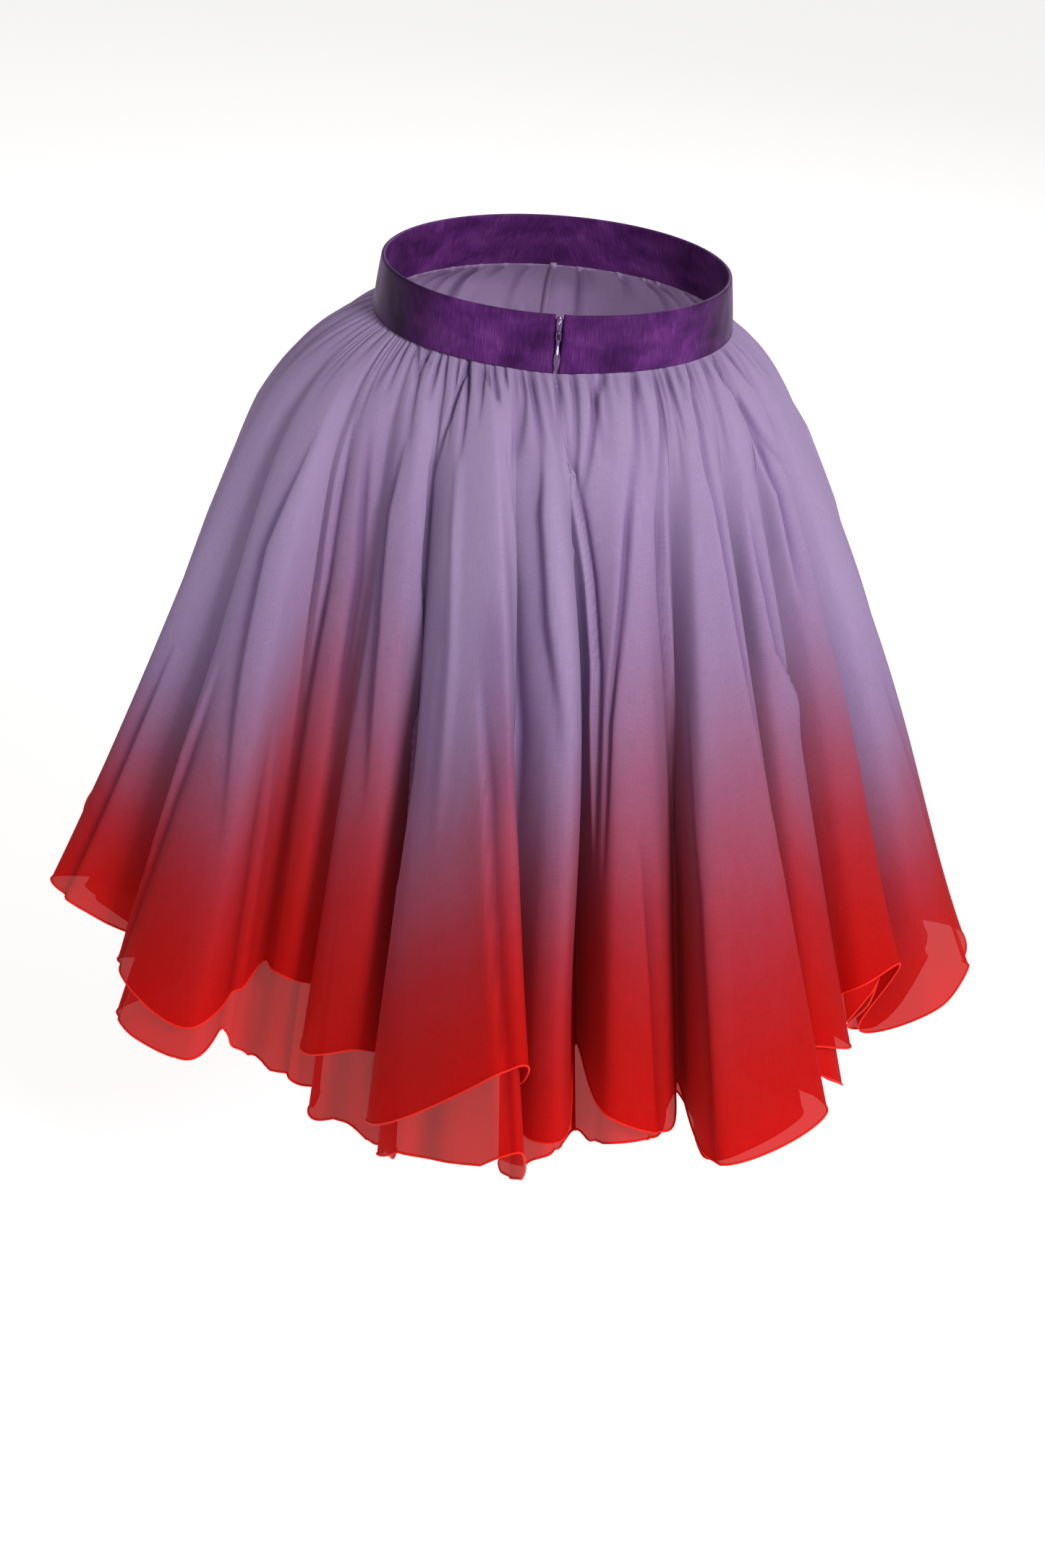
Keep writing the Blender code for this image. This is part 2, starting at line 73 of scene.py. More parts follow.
# Floor and light
# A plain pale floor where a standing wearer's feet would be, well below the hem. The light is soft and comes
# from the upper right of the photo, with a weaker one at the front and a pale room all round.
FLOOR_HEIGHT = -1.05
FLOOR_SIDE = 30.0
LIGHTS = (
    # Name, place, size in metres, watts
    ("key", (-1.2, 2.15, 1.45), 0.8, 76),
    ("front", (-0.9, -2.2, 1.5), 2.0, 26),
)
LIGHTS_AIM = Vector((0, 0, -0.25))
ROOM_LIGHT = 0.49
WALLS_SEEN = 0.86          # the walls look paler than the light that they give
FLOOR_GLOW = 0.42          # the floor's own light, as a white sweep that is lit from below has


def linear(code):
    """The linear colour of an sRGB hex code."""
    parts = [int(code[i:i + 2], 16) / 255 for i in (1, 3, 5)]
    return (*[p / 12.92 if p <= 0.04045 else ((p + 0.055) / 1.055) ** 2.4 for p in parts], 1.0)


def add_node(tree, kind, inputs=None, **settings):
    """Adds one node. An input takes a value, a colour's code, a node, or one output of a node."""
    node = tree.nodes.new("ShaderNode" + kind)
    for name, value in settings.items():
        setattr(node, name, value)
    for name, value in (inputs or {}).items():
        if isinstance(value, bpy.types.Node):
            value = value.outputs[0]
        if isinstance(value, bpy.types.NodeSocket):
            tree.links.new(value, node.inputs[name])
        else:
            node.inputs[name].default_value = linear(value) if isinstance(value, str) else value
    return node


def ranged(tree, value, low, high, first=0.0, last=1.0):
    """Spreads a value that runs from first to last over low to high."""
    return add_node(tree, "MapRange", {"Value": value, "From Min": first, "From Max": last, "To Min": low,
                                       "To Max": high})


def new_material(name):
    """An empty material and its node tree."""
    made = bpy.data.materials.new(name)
    made.use_nodes = True
    made.node_tree.nodes.clear()
    return made, made.node_tree


floor_paint, tree = new_material("matt floor paint")
# Rolled matt paint: even and pale, with no gloss
paint = add_node(tree, "BsdfPrincipled", {"Base Color": "#F6F5F4", "Roughness": 0.9,
                                          "Emission Color": "#FFFFFF", "Emission Strength": FLOOR_GLOW})
add_node(tree, "OutputMaterial", {"Surface": paint})
half = FLOOR_SIDE / 2
mesh = bpy.data.meshes.new("floor")
corners = ((-half, -half), (half, -half), (half, half), (-half, half))
mesh.from_pydata([(x, y, FLOOR_HEIGHT) for x, y in corners], [], [(0, 1, 2, 3)])
mesh.materials.append(floor_paint)
floor = bpy.data.objects.new("floor", mesh)
scene.collection.objects.link(floor)

for name, spot, size, watts in LIGHTS:
    lamp = bpy.data.lights.new(name, "AREA")
    lamp.size = size
    lamp.energy = watts
    light = bpy.data.objects.new(name, lamp)
    light.location = spot
    light.rotation_euler = (LIGHTS_AIM - Vector(spot)).to_track_quat("-Z", "Y").to_euler()
    scene.collection.objects.link(light)
room = bpy.data.worlds.new("pale room")
room.use_nodes = True
tree = room.node_tree
walls = tree.nodes["Background"]
walls.inputs["Color"].default_value = linear("#FBFAFA")
seen = add_node(tree, "LightPath")
brightness = ranged(tree, seen.outputs["Is Camera Ray"], ROOM_LIGHT, WALLS_SEEN)
tree.links.new(brightness.outputs[0], walls.inputs["Strength"])
scene.world = room
scene.view_settings.view_transform = "Standard"

# Waistband
# One strip of slubbed silk satin, doubled over an interfacing, pressed, and sewn on over the gathers. It is
# 38 mm tall, and its ends meet at the centre back, where each folds in beside the zip.
BAND_HEIGHT = 0.038
BAND_THICK = 0.003
BAND_TOP_WIDE = 0.118      # half of the band's width, outside, at its top edge
BAND_TOP_DEEP = 0.092      # half of its depth
BAND_FLARE = 1.041         # how much larger the lower edge is
BAND_STEPS = 540
BAND_ROUND = 0.0011        # roundness of its folded edges
BAND_CROWN = 0.0003        # how far its middle stands out, where it isn't pressed
SLIT_TOP = 0.0027          # half of the gap between its ends, beside the slider
SLIT_LOW = 0.0013          # and at the lower edge
SLIT_NARROWS_AT = 0.004    # height at which the gap starts to narrow
CENTRE_DIP = 0.0012        # how far the seam pulls the lower edge down at the centre back
CENTRE_DIP_WIDE = 0.016
# Puckers: distance round from the centre back towards the wearer's left, height, half length, half width,
# depth, all in millimetres, and lean in degrees
BAND_PUCKERS = (
    (88, 2, 5, 1.6, 0.8, 35), (91, -1, 6, 3.0, -0.5, 30), (-104, 3, 6, 1.6, 0.8, -60),
    (-99, 1, 7, 3.0, -0.5, -55), (-13, -3, 7, 5.0, 0.4, 10), (-21, 2, 8, 4.0, -0.3, 0),
    (38, -4, 12, 6.0, 0.35, 20), (52, 3, 12, 6.0, -0.3, 15), (70, -5, 10, 5.0, 0.3, -20),
    (-46, 4, 12, 6.0, 0.3, -10), (-62, -3, 12, 7.0, -0.35, 5), (-80, 2, 10, 5.0, 0.3, 15),
    (118, 0, 12, 5.0, 0.3, 10), (150, 2, 14, 6.0, 0.35, -15), (186, -3, 12, 5.0, -0.3, 10),
    (225, 1, 14, 7.0, 0.35, 5), (262, 3, 12, 5.0, 0.3, -10), (300, -2, 14, 6.0, -0.35, 15),
    (-130, 1, 12, 5.0, 0.3, -15), (-168, -3, 14, 6.0, 0.35, 10), (-204, 2, 12, 5.0, -0.3, 5),
    (-243, -1, 14, 7.0, 0.35, -10), (-284, 3, 12, 5.0, 0.3, 15), (-318, -2, 12, 6.0, -0.3, 0),
)
# Painted sheen, lighter and darker patches painted into the satin's colour round the band: distance round from
# the centre back, brightness
BAND_PAINTED_SHEEN = (
    (-340, 0.9), (-290, 1.1), (-240, 0.8), (-200, 1.1), (-160, 0.8), (-135, 0.9), (-116, 0.6), (-98, 0.9),
    (-74, 1.2), (-54, 1.0), (-33, 0.8), (-12, 1.1), (0, 1.0), (15, 0.8), (44, 1.2), (62, 1.1), (75, 0.9),
    (96, 0.6), (118, 0.4), (140, 0.8), (175, 1.1), (215, 0.9), (260, 1.1), (310, 0.9),
)
PAINTED_SHEEN_LEAN = 0.8         # how far these patches lean, to either side
PAINTED_SHEEN_POWER = 1.5


def grid_faces(rows, columns, wrap_rows=False):
    """Faces of a grid of points, row after row. With wrap_rows its last row joins its first."""
    faces = []
    for i in range(rows if wrap_rows else rows - 1):
        after = (i + 1) % rows
        for j in range(columns - 1):
            faces.append((i * columns + j, i * columns + j + 1, after * columns + j + 1, after * columns + j))
    return faces


def add_piece(name, points, faces, finish, body="skirt", spread=None, values=None):
    """A smooth mesh piece that rides on a body. Spread is each point's place on the flat cloth, in metres."""
    mesh = bpy.data.meshes.new(name)
    mesh.from_pydata(np.asarray(points).tolist(), [], faces)
    if spread is not None:
        corners = np.empty(len(mesh.loops), dtype=np.int32)
        mesh.loops.foreach_get("vertex_index", corners)
        layer = mesh.uv_layers.new(name="flat_cloth")
        layer.data.foreach_set("uv", np.asarray(spread, dtype=np.float32)[corners].ravel())
    for kept, numbers in (values or {}).items():
        attribute = mesh.attributes.new(kept, "FLOAT", "POINT")
        attribute.data.foreach_set("value", np.asarray(numbers, dtype=np.float32))
    mesh.materials.append(finish)
    mesh.shade_smooth()
    made = bpy.data.objects.new(name, mesh)
    scene.collection.objects.link(made)
    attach(made, body)
    return made


def band_half(height):
    """Half width and half depth of the band's outer face at a height."""
    share = 1 + (BAND_FLARE - 1) * (0.5 - height / BAND_HEIGHT)
    return BAND_TOP_WIDE * share, BAND_TOP_DEEP * share


def band_relief(round_way, height):
    """How far puckers push the band's face out at a place on it."""
    total = 0.0
    for at, high, long, wide, depth, lean in BAND_PUCKERS:
        x, z = round_way * 1000 - at, height * 1000 - high
        turn = math.radians(lean)
        along = x * math.sin(turn) + z * math.cos(turn)
        across = x * math.cos(turn) - z * math.sin(turn)
        total -= depth * math.exp(-((along / long) ** 2) - (across / wide) ** 2)
    return total / 1000


def cloth_noise(tree, across, down, detail, **inputs):
    """Noise over the flat cloth, with this many patches a metre across it and down it."""
    flat = add_node(tree, "UVMap", uv_map="flat_cloth")
    size = add_node(tree, "Mapping", {"Vector": flat, "Scale": (across, down, 1)})
    return add_node(tree, "TexNoise", {"Vector": size, "Scale": 1, "Detail": detail, **inputs})


def ramp(tree, value, *stops):
    """Colours over a value. Each stop is a position and a colour's code."""
    node = add_node(tree, "ValToRGB", {"Fac": value})
    marks = node.color_ramp.elements
    for number, (position, code) in enumerate(stops):
        mark = marks[number] if number < 2 else marks.new(position)
        mark.position, mark.color = position, linear(code)
    return node


def multiplied(tree, share, first, second):
    """The first colour multiplied by the second, by a share."""
    return add_node(tree, "MixRGB", {"Fac": share, "Color1": first, "Color2": second}, blend_type="MULTIPLY")


slubbed_satin, tree = new_material("slubbed silk satin")
# Woven of uneven silk: the face is smooth, with painted sheen in soft patches, and thicker threads run up the
# band as short fine streaks. The streaks are 0.8 mm wide and about 12 mm long, as real slubs are.
slubs = cloth_noise(tree, 1250, 80, 3, Roughness=0.6)
sheen_patch_noise = cloth_noise(tree, 42, 60, 2, Distortion=0.6)
streaks = ramp(tree, slubs, (0.28, "#422052"), (0.50, "#53265F"), (0.74, "#663672"))
# Painted sheen: soft light patches multiplied into the satin's colour
painted_sheen_patches = ramp(tree, sheen_patch_noise, (0.32, "#A898B4"), (0.52, "#DCCCE4"), (0.70, "#FFFFFF"))
# Painted sheen, lighter and darker patches round the band, multiplied into the satin's colour
painted_sheen = add_node(tree, "Attribute", attribute_name="painted_sheen")
colour = multiplied(tree, 1.0, multiplied(tree, 0.9, streaks, painted_sheen_patches), painted_sheen.outputs["Fac"])
bump = add_node(tree, "Bump", {"Height": slubs, "Strength": 0.15, "Distance": 0.0002})
shader = add_node(tree, "BsdfPrincipled", {
    "Base Color": colour, "Roughness": 0.42, "Specular IOR Level": 0.12,
    "Specular Tint": "#D08CE8", "Normal": bump})
add_node(tree, "OutputMaterial", {"Surface": shader})

top = BAND_HEIGHT / 2
face_heights = np.linspace(BAND_ROUND - top, top - BAND_ROUND, 15)
turns = np.radians(np.linspace(18, 162, 5))
section = [(0.0, height) for height in face_heights]
for t in turns:
    section.append((BAND_THICK / 2 * (1 - math.cos(t)), top - BAND_ROUND + BAND_ROUND * math.sin(t)))
section += [(BAND_THICK, height) for height in face_heights[::-2]]
for t in turns:
    section.append((BAND_THICK / 2 * (1 + math.cos(t)), BAND_ROUND - top - BAND_ROUND * math.sin(t)))
sheen_at, sheen_by = np.array(BAND_PAINTED_SHEEN).T
points, spread, painted_sheen = [], [], []
for inset, height in section:
    wide, deep = band_half(height)
    narrowing = min(1.0, (height + top) / (SLIT_NARROWS_AT + top))
    end = math.asin((SLIT_LOW + (SLIT_TOP - SLIT_LOW) * narrowing) / wide)
    for step in range(BAND_STEPS + 1):
        share = step / BAND_STEPS
        at = end + (2 * math.pi - 2 * end) * share
        centre_way = (at if at <= math.pi else at - 2 * math.pi) * (wide + deep) / 2
        from_end = min(share, 1 - share) * 2 * math.pi * wide
        folded_in = 0.0
        if from_end < BAND_ROUND:
            folded_in = BAND_ROUND - math.sqrt(BAND_ROUND ** 2 - (BAND_ROUND - from_end) ** 2)
        on_face = max(0.0, 1 - inset / BAND_THICK * 2)
        crown = BAND_CROWN * (1 - (height / top) ** 2)
        out = on_face * (crown + band_relief(centre_way, height) - folded_in)
        dip = CENTRE_DIP * math.exp(-(centre_way / CENTRE_DIP_WIDE) ** 2) * (0.5 - height / BAND_HEIGHT)
        points.append(((wide - inset + out) * math.sin(at), (deep - inset + out) * math.cos(at), height - dip))
        spread.append((centre_way, height + inset))
        # The painted sheen at this place on the band
        lean = centre_way + height * PAINTED_SHEEN_LEAN * math.sin(centre_way * 90)
        painted_sheen.append(np.interp(lean * 1000, sheen_at, sheen_by) ** PAINTED_SHEEN_POWER)
faces = grid_faces(len(section), BAND_STEPS + 1, wrap_rows=True)
faces += [tuple(i * (BAND_STEPS + 1) for i in range(len(section))),
          tuple(i * (BAND_STEPS + 1) + BAND_STEPS for i in reversed(range(len(section))))]
waistband = add_piece("waistband_satin", points, faces, slubbed_satin, spread=spread,
                      values={"painted_sheen": painted_sheen})
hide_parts("waistband")

# Outer skirt
# Four panels of silk organza, seamed, gathered into the band, and dipped from the hem up in red dye over lilac.
# Each line of cloth falls from the band to a hem that lies in deep folds, which the table places as they hang.
Fold = namedtuple(
    "Fold",
    "waist_at valley_at valley_reach valley_cloth rise_at rise_reach rise_cloth "
    "fall_at fall_reach fall_cloth gathers bow tuck puff belly",
)
# Angles in degrees and lengths in millimetres, from the centre back round by the wearer's left. Each fold has a
# valley and a ridge with two edges. Puff is how far the gathers push it out over the hip, and belly how far it
# swings out halfway down.
FOLDS = [Fold(*row) for row in (
    (0, -11.0, 240, 470, -5.4, 348, 510, -2.6, 342, 511, 2, -16, 40, 0, 0),
    (14, 0.8, 296, 498, -0.2, 383, 456, 14.5, 358, 508, 5, -4, 16, 0, 0),
    (37, 17.4, 262, 490, 19.5, 305, 472, 28.5, 300, 488, 2, 0, 18, 0, 0),
    (49, 32.0, 252, 455, 35.0, 268, 450, 38.5, 268, 450, 3, 0, 10, 4, 0),
    (61, 43.6, 256, 455, 42.9, 326, 503, 58.5, 330, 497, 4, 0, 8, 18, 0),
    (75, 62.5, 275, 496, 68.0, 324, 493, 76.0, 352, 496, 4, 0, 20, 34, 0),
    (90, 84.0, 282, 494, 90.0, 328, 500, 101.0, 332, 500, 3, 0, 18, 33, 0),
    (112, 108.0, 280, 500, 114.5, 334, 500, 124.0, 340, 500, 3, 6, 16, 24, 0),
    (135, 131.5, 292, 500, 138.0, 350, 500, 149.0, 344, 500, 3, 0, 18, 16, 4),
    (157, 155.0, 284, 500, 161.5, 340, 500, 172.0, 338, 500, 3, -6, 16, 12, 6),
    (180, 178.5, 280, 500, 185.5, 335, 500, 197.0, 346, 500, 3, 0, 18, 16, 4),
    (203, 203.0, 292, 500, 209.0, 350, 500, 220.0, 344, 500, 3, 6, 16, 12, 8),
    (226, 226.5, 280, 500, 233.0, 338, 500, 243.0, 334, 500, 3, 0, 18, 10, 10),
    (248, 249.0, 286, 500, 255.5, 336, 500, 266.0, 332, 500, 3, 0, 16, 4, 13),
    (270, 273.0, 288, 500, 283.0, 352, 504, 298.0, 356, 514, 4, 0, 24, 2, 14),
    (286, 301.5, 304, 520, 303.5, 330, 462, 311.0, 325, 456, 2, 0, 12, 0, 10),
    (296, 313.5, 290, 474, 315.5, 338, 492, 322.0, 336, 478, 2, 0, 6, 0, 4),
    (308, 324.5, 282, 482, 327.0, 385, 510, 338.9, 384, 530, 4, 0, 20, 0, 0),
    (328, 336.0, 286, 492, 341.2, 332, 512, 348.2, 324, 498, 4, 0, 16, 0, 0),
)]
# Numbers of the folds that start at the left side seam, the centre front seam and the right side seam
LEFT_SEAM, FRONT_SEAM, RIGHT_SEAM = 6, 10, 14
PUFF_SPREADS = 0.10
PUFF_FADES = 1.2
# How far the under layer's hem hangs below the outer one: place round the cloth, millimetres
LONGER = (
    (0, 76), (4, 42), (8, 46), (10, 58), (12, 70), (16, 66), (20, 34), (24, 30), (28, 72), (30, 76), (32, 62),
    (34, 60), (36, 82), (44, 84), (48, 80), (50, 32), (54, 32), (56, 37), (60, 46), (63, 26), (67, 8), (76, 6),
    (80, 20), (92, 30), (104, 22), (116, 34), (128, 26), (140, 20), (152, 30), (164, 24), (176, 10), (186, 2),
    (192, 2), (196, 26), (200, 38), (204, 30), (208, 14), (224, 14), (230, 20), (236, 48),
)
# How far above the outer hem the red has faded to mauve: place round the cloth, millimetres
DYED = (
    (4, 148), (10, 138), (18, 136), (26, 154), (32, 182), (42, 178), (54, 150), (60, 128), (70, 106), (84, 110),
    (98, 128), (110, 112), (122, 140), (134, 118), (146, 134), (158, 108), (170, 130), (184, 122), (192, 136),
    (197, 150), (204, 160), (210, 174), (217, 186), (228, 192), (233, 180), (238, 136),
)
MM = 0.001
CLOTH_THICK = 0.0013
SEAM_GAP = 0.0003
BAND_INSET = 0.0013        # the cloth starts this far inside the band's outer face
TUCKED_UP = 0.0025         # and its edge runs this far up between the band's two faces
LAYER_GAP_SEAM = 0.0007    # from one layer's face to the other's, in the band's seam
LAYER_GAP_TOP = 0.0021     # just under it
LAYER_GAP_TOP_AT = 0.020
LAYER_GAP = 0.0050         # and lower down
LAYER_GAP_DEPTH = 0.10
CURVE_LOSS = 0.985         # a drop is this share of what a straight run of cloth would give
SPRING = 0.15              # share of the run that the gathers push out just under the band
SPRING_DEPTH = 0.050
RUN_POWER = 1.04
FOLD_POWER = 0.30
MEAN_REACH = 0.310         # radius of the hem with its folds evened out
CURVE_STEPS = 96
CORNER_LIMIT = 1.7
TUCK_TOWARDS = 0.7
UNITS = 4                  # a place round the cloth is counted in quarters of a gather
FINE = 5                   # columns of points in each of those
ROWS = 84
ROW_POWER = 1.3            # rows lie closer together near the band
CLOTH_LONG = 0.50          # mean length of the cloth down to the hem
AROUND = UNITS * sum(fold.gathers for fold in FOLDS)

Columns = namedtuple("Columns", "number waist mean hem drop tuck bow puff belly")
Crease = namedtuple("Crease", "depth wide_top wide_low step path")


def round_axis(wide, deep, degrees):
    angle = np.radians(degrees)
    return np.stack((wide * np.sin(angle), deep * np.cos(angle)), axis=-1)


def smooth_loop(points):
    """A closed curve through the points, paced by the root of their spacing so that corners get no loops."""
    ahead = np.roll(points, -1, axis=0) - points
    pace = np.sqrt(np.linalg.norm(ahead[:, :2], axis=1))[:, None]
    before = np.roll(pace, 1, axis=0)
    slope_ahead = ahead / pace
    slopes = (np.roll(slope_ahead, 1, axis=0) * pace + slope_ahead * before) / (before + pace)
    after, slopes_after = np.roll(points, -1, axis=0), np.roll(slopes, -1, axis=0)
    samples = []
    for s in np.arange(CURVE_STEPS) / CURVE_STEPS:
        ease = s * s * (3 - 2 * s)
        samples.append(points * (1 - ease) + after * ease + slopes * pace * s * (1 - s) ** 2
                       - slopes_after * pace * s * s * (1 - s))
    return np.stack(samples, axis=1).reshape(-1, points.shape[1])


def make_columns(fine):
    """The lines of cloth from the band to the hem, evenly spaced along each fold, fine of them to a unit."""
    points = []
    for fold in FOLDS:
        for at, reach, cloth, tuck in (
            (fold.valley_at, fold.valley_reach, fold.valley_cloth, 0),
            (fold.rise_at, fold.rise_reach, fold.rise_cloth, fold.tuck),
            (fold.fall_at, fold.fall_reach, fold.fall_cloth, fold.tuck),
        ):
            points.append(np.array((*round_axis(reach, reach, at), cloth, tuck)) * MM)
    curve = smooth_loop(np.array(points))
    parts = []
    number = 0
    for i, fold in enumerate(FOLDS):
        after = FOLDS[(i + 1) % len(FOLDS)]
        turn = 360 if i + 1 == len(FOLDS) else 0
        stretch = curve[np.arange(3 * i * CURVE_STEPS, 3 * (i + 1) * CURVE_STEPS + 1) % len(curve)]
        steps = np.linalg.norm(np.diff(stretch[:, :2], axis=0), axis=1)
        length = np.concatenate(([0], np.cumsum(steps)))
        share = np.arange(fold.gathers * UNITS * fine) / (fold.gathers * UNITS * fine)
        hem = np.stack([np.interp(share * length[-1], length, stretch[:, axis]) for axis in range(4)], axis=1)
        waist_at = fold.waist_at + (after.waist_at + turn - fold.waist_at) * share
        mean_at = fold.valley_at + (after.valley_at + turn - fold.valley_at) * share
        mean = round_axis(MEAN_REACH, MEAN_REACH, mean_at)
        waist = round_axis(BAND_TOP_WIDE * BAND_FLARE, BAND_TOP_DEEP * BAND_FLARE, waist_at)
        run = np.linalg.norm(hem[:, :2] - waist, axis=1)
        parts.append(Columns(
            number + share * fold.gathers * UNITS, waist, mean, hem[:, :2],
            np.sqrt(hem[:, 2] ** 2 - run ** 2) * CURVE_LOSS, np.maximum(0, hem[:, 3]),
            fold.bow * MM * np.sin(math.pi * share),
            (fold.puff + (after.puff - fold.puff) * share) * MM,
            (fold.belly + (after.belly - fold.belly) * share) * MM,
        ))
        number += fold.gathers * UNITS
    return Columns(*[np.concatenate(part) for part in zip(*parts)])


def side_steps(points):
    """For each point of a closed level curve, the step that moves both its sides out by one."""
    ahead = np.roll(points, -1, axis=0) - points
    ahead /= np.linalg.norm(ahead, axis=1)[:, None]
    out = np.stack((-ahead[:, 1], ahead[:, 0]), axis=1)
    both = out + np.roll(out, 1, axis=0)
    long = np.linalg.norm(both, axis=1)[:, None]
    return both / long * np.minimum(2 / long, CORNER_LIMIT)


def run_share(level):
    """How far out the cloth is, as a share of its whole run, at a share of its drop."""
    return SPRING * (1 - math.exp(-level / SPRING_DEPTH)) + (1 - SPRING) * level ** RUN_POWER


def cloth_row(columns, level, inside):
    """Points of one layer at a share of its drop, before the gathers and creases."""
    flare = run_share(level)
    fold = flare * level ** FOLD_POWER
    above_hem = max(0.0, 1 - level)
    puffed = (1 - math.exp(-level / PUFF_SPREADS)) * above_hem ** PUFF_FADES
    swung = math.sin(math.pi * above_hem) ** 2
    out = columns.waist / np.linalg.norm(columns.waist, axis=1)[:, None]
    across = np.stack((out[:, 1], -out[:, 0]), axis=1)
    waist = columns.waist - out * BAND_INSET
    plan = waist + (columns.mean - waist) * flare + (columns.hem - columns.mean) * fold
    plan = plan + out * (columns.puff * puffed + columns.belly * swung)[:, None]
    plan = plan + across * (columns.bow * math.sin(math.pi * min(1.0, flare)) ** 2)[:, None]
    if inside:
        gap = LAYER_GAP_TOP + (LAYER_GAP - LAYER_GAP_TOP) * min(1.0, level / LAYER_GAP_DEPTH)
        gap = LAYER_GAP_SEAM + (gap - LAYER_GAP_SEAM) * min(1.0, level / LAYER_GAP_TOP_AT)
        plan -= side_steps(plan) * gap
        back = columns.mean * TUCK_TOWARDS - columns.hem
        plan += back / np.linalg.norm(back, axis=1)[:, None] * columns.tuck[:, None] * fold
    plan -= side_steps(plan) * CLOTH_THICK / 2
    return np.column_stack((plan, -BAND_HEIGHT / 2 - SEAM_GAP - columns.drop * level))


def add_relief(grid, down, number, creases):
    """Moves a grid of cloth out and in along its own normals by gathers and creases, and gives a share of
    painted shade for its troughs too, by their depth. Down is each row's distance from the band, and number
    each column's place round the cloth."""
    steps = np.linalg.norm(np.roll(grid, -1, axis=1) - grid, axis=2)
    unit = steps.mean(axis=1) * grid.shape[1] / AROUND
    height = np.zeros(grid.shape[:2])
    for crease in creases:
        places, numbers = np.array(crease.path).T
        start, end = places[0] * MM, places[-1] * MM
        rows = np.nonzero((down >= start) & (down <= end))[0]
        if len(rows) == 0:
            continue
        share = (down[rows] - start) / (end - start)
        at = np.interp(down[rows], places * MM, numbers)
        wide = (crease.wide_top + (crease.wide_low - crease.wide_top) * share) * MM
        across = (number[None] - at[:, None] + AROUND / 2) % AROUND - AROUND / 2
        across = across * unit[rows][:, None] / wide[:, None]
        fade = (1 - share) ** GATHER_FADES * (AT_SEAM + (1 - AT_SEAM) * np.minimum(1, down[rows] / FULL_AT))
        if start > 0:
            fade = np.minimum(1, share / CREASE_STARTS) * np.minimum(1, (1 - share) / CREASE_ENDS)
        shape = np.exp(-across ** 2)
        if crease.step:
            spread = np.where(across * crease.step < 0, LIP_SPREAD, LOW_SPREAD)
            shape = np.tanh(across * EDGE_CRISP) * np.exp(-(across / spread) ** 2) * crease.step
        height[rows] -= crease.depth * MM * shape * fade[:, None]
    # Painted shade: a share, from each trough's depth, by which the cloth's colour is darkened there
    painted_crease_shade = np.clip(-height / CREASE_SHADE_DEPTH, 0, 1)
    height += PLUMP * (1 - np.exp(-np.maximum(0, down) / PLUMP_SPREADS))[:, None]
    along = np.roll(grid, -1, axis=1) - np.roll(grid, 1, axis=1)
    fall = np.gradient(grid, axis=0)
    normal = np.cross(fall, along)
    normal /= np.linalg.norm(normal, axis=2)[:, :, None]
    outward = np.sign((normal[:, :, :2] * grid[:, :, :2]).sum(axis=2).mean())
    return grid + normal * outward * height[:, :, None], painted_crease_shade


columns = make_columns(FINE)
levels = np.linspace(0, 1, ROWS) ** ROW_POWER
outer_grid = [cloth_row(columns, level, False) for level in levels]
outer_grid = np.array([outer_grid[0] + np.array((0, 0, TUCKED_UP))] + outer_grid)
outer_down = np.concatenate(([-TUCKED_UP], levels * CLOTH_LONG))
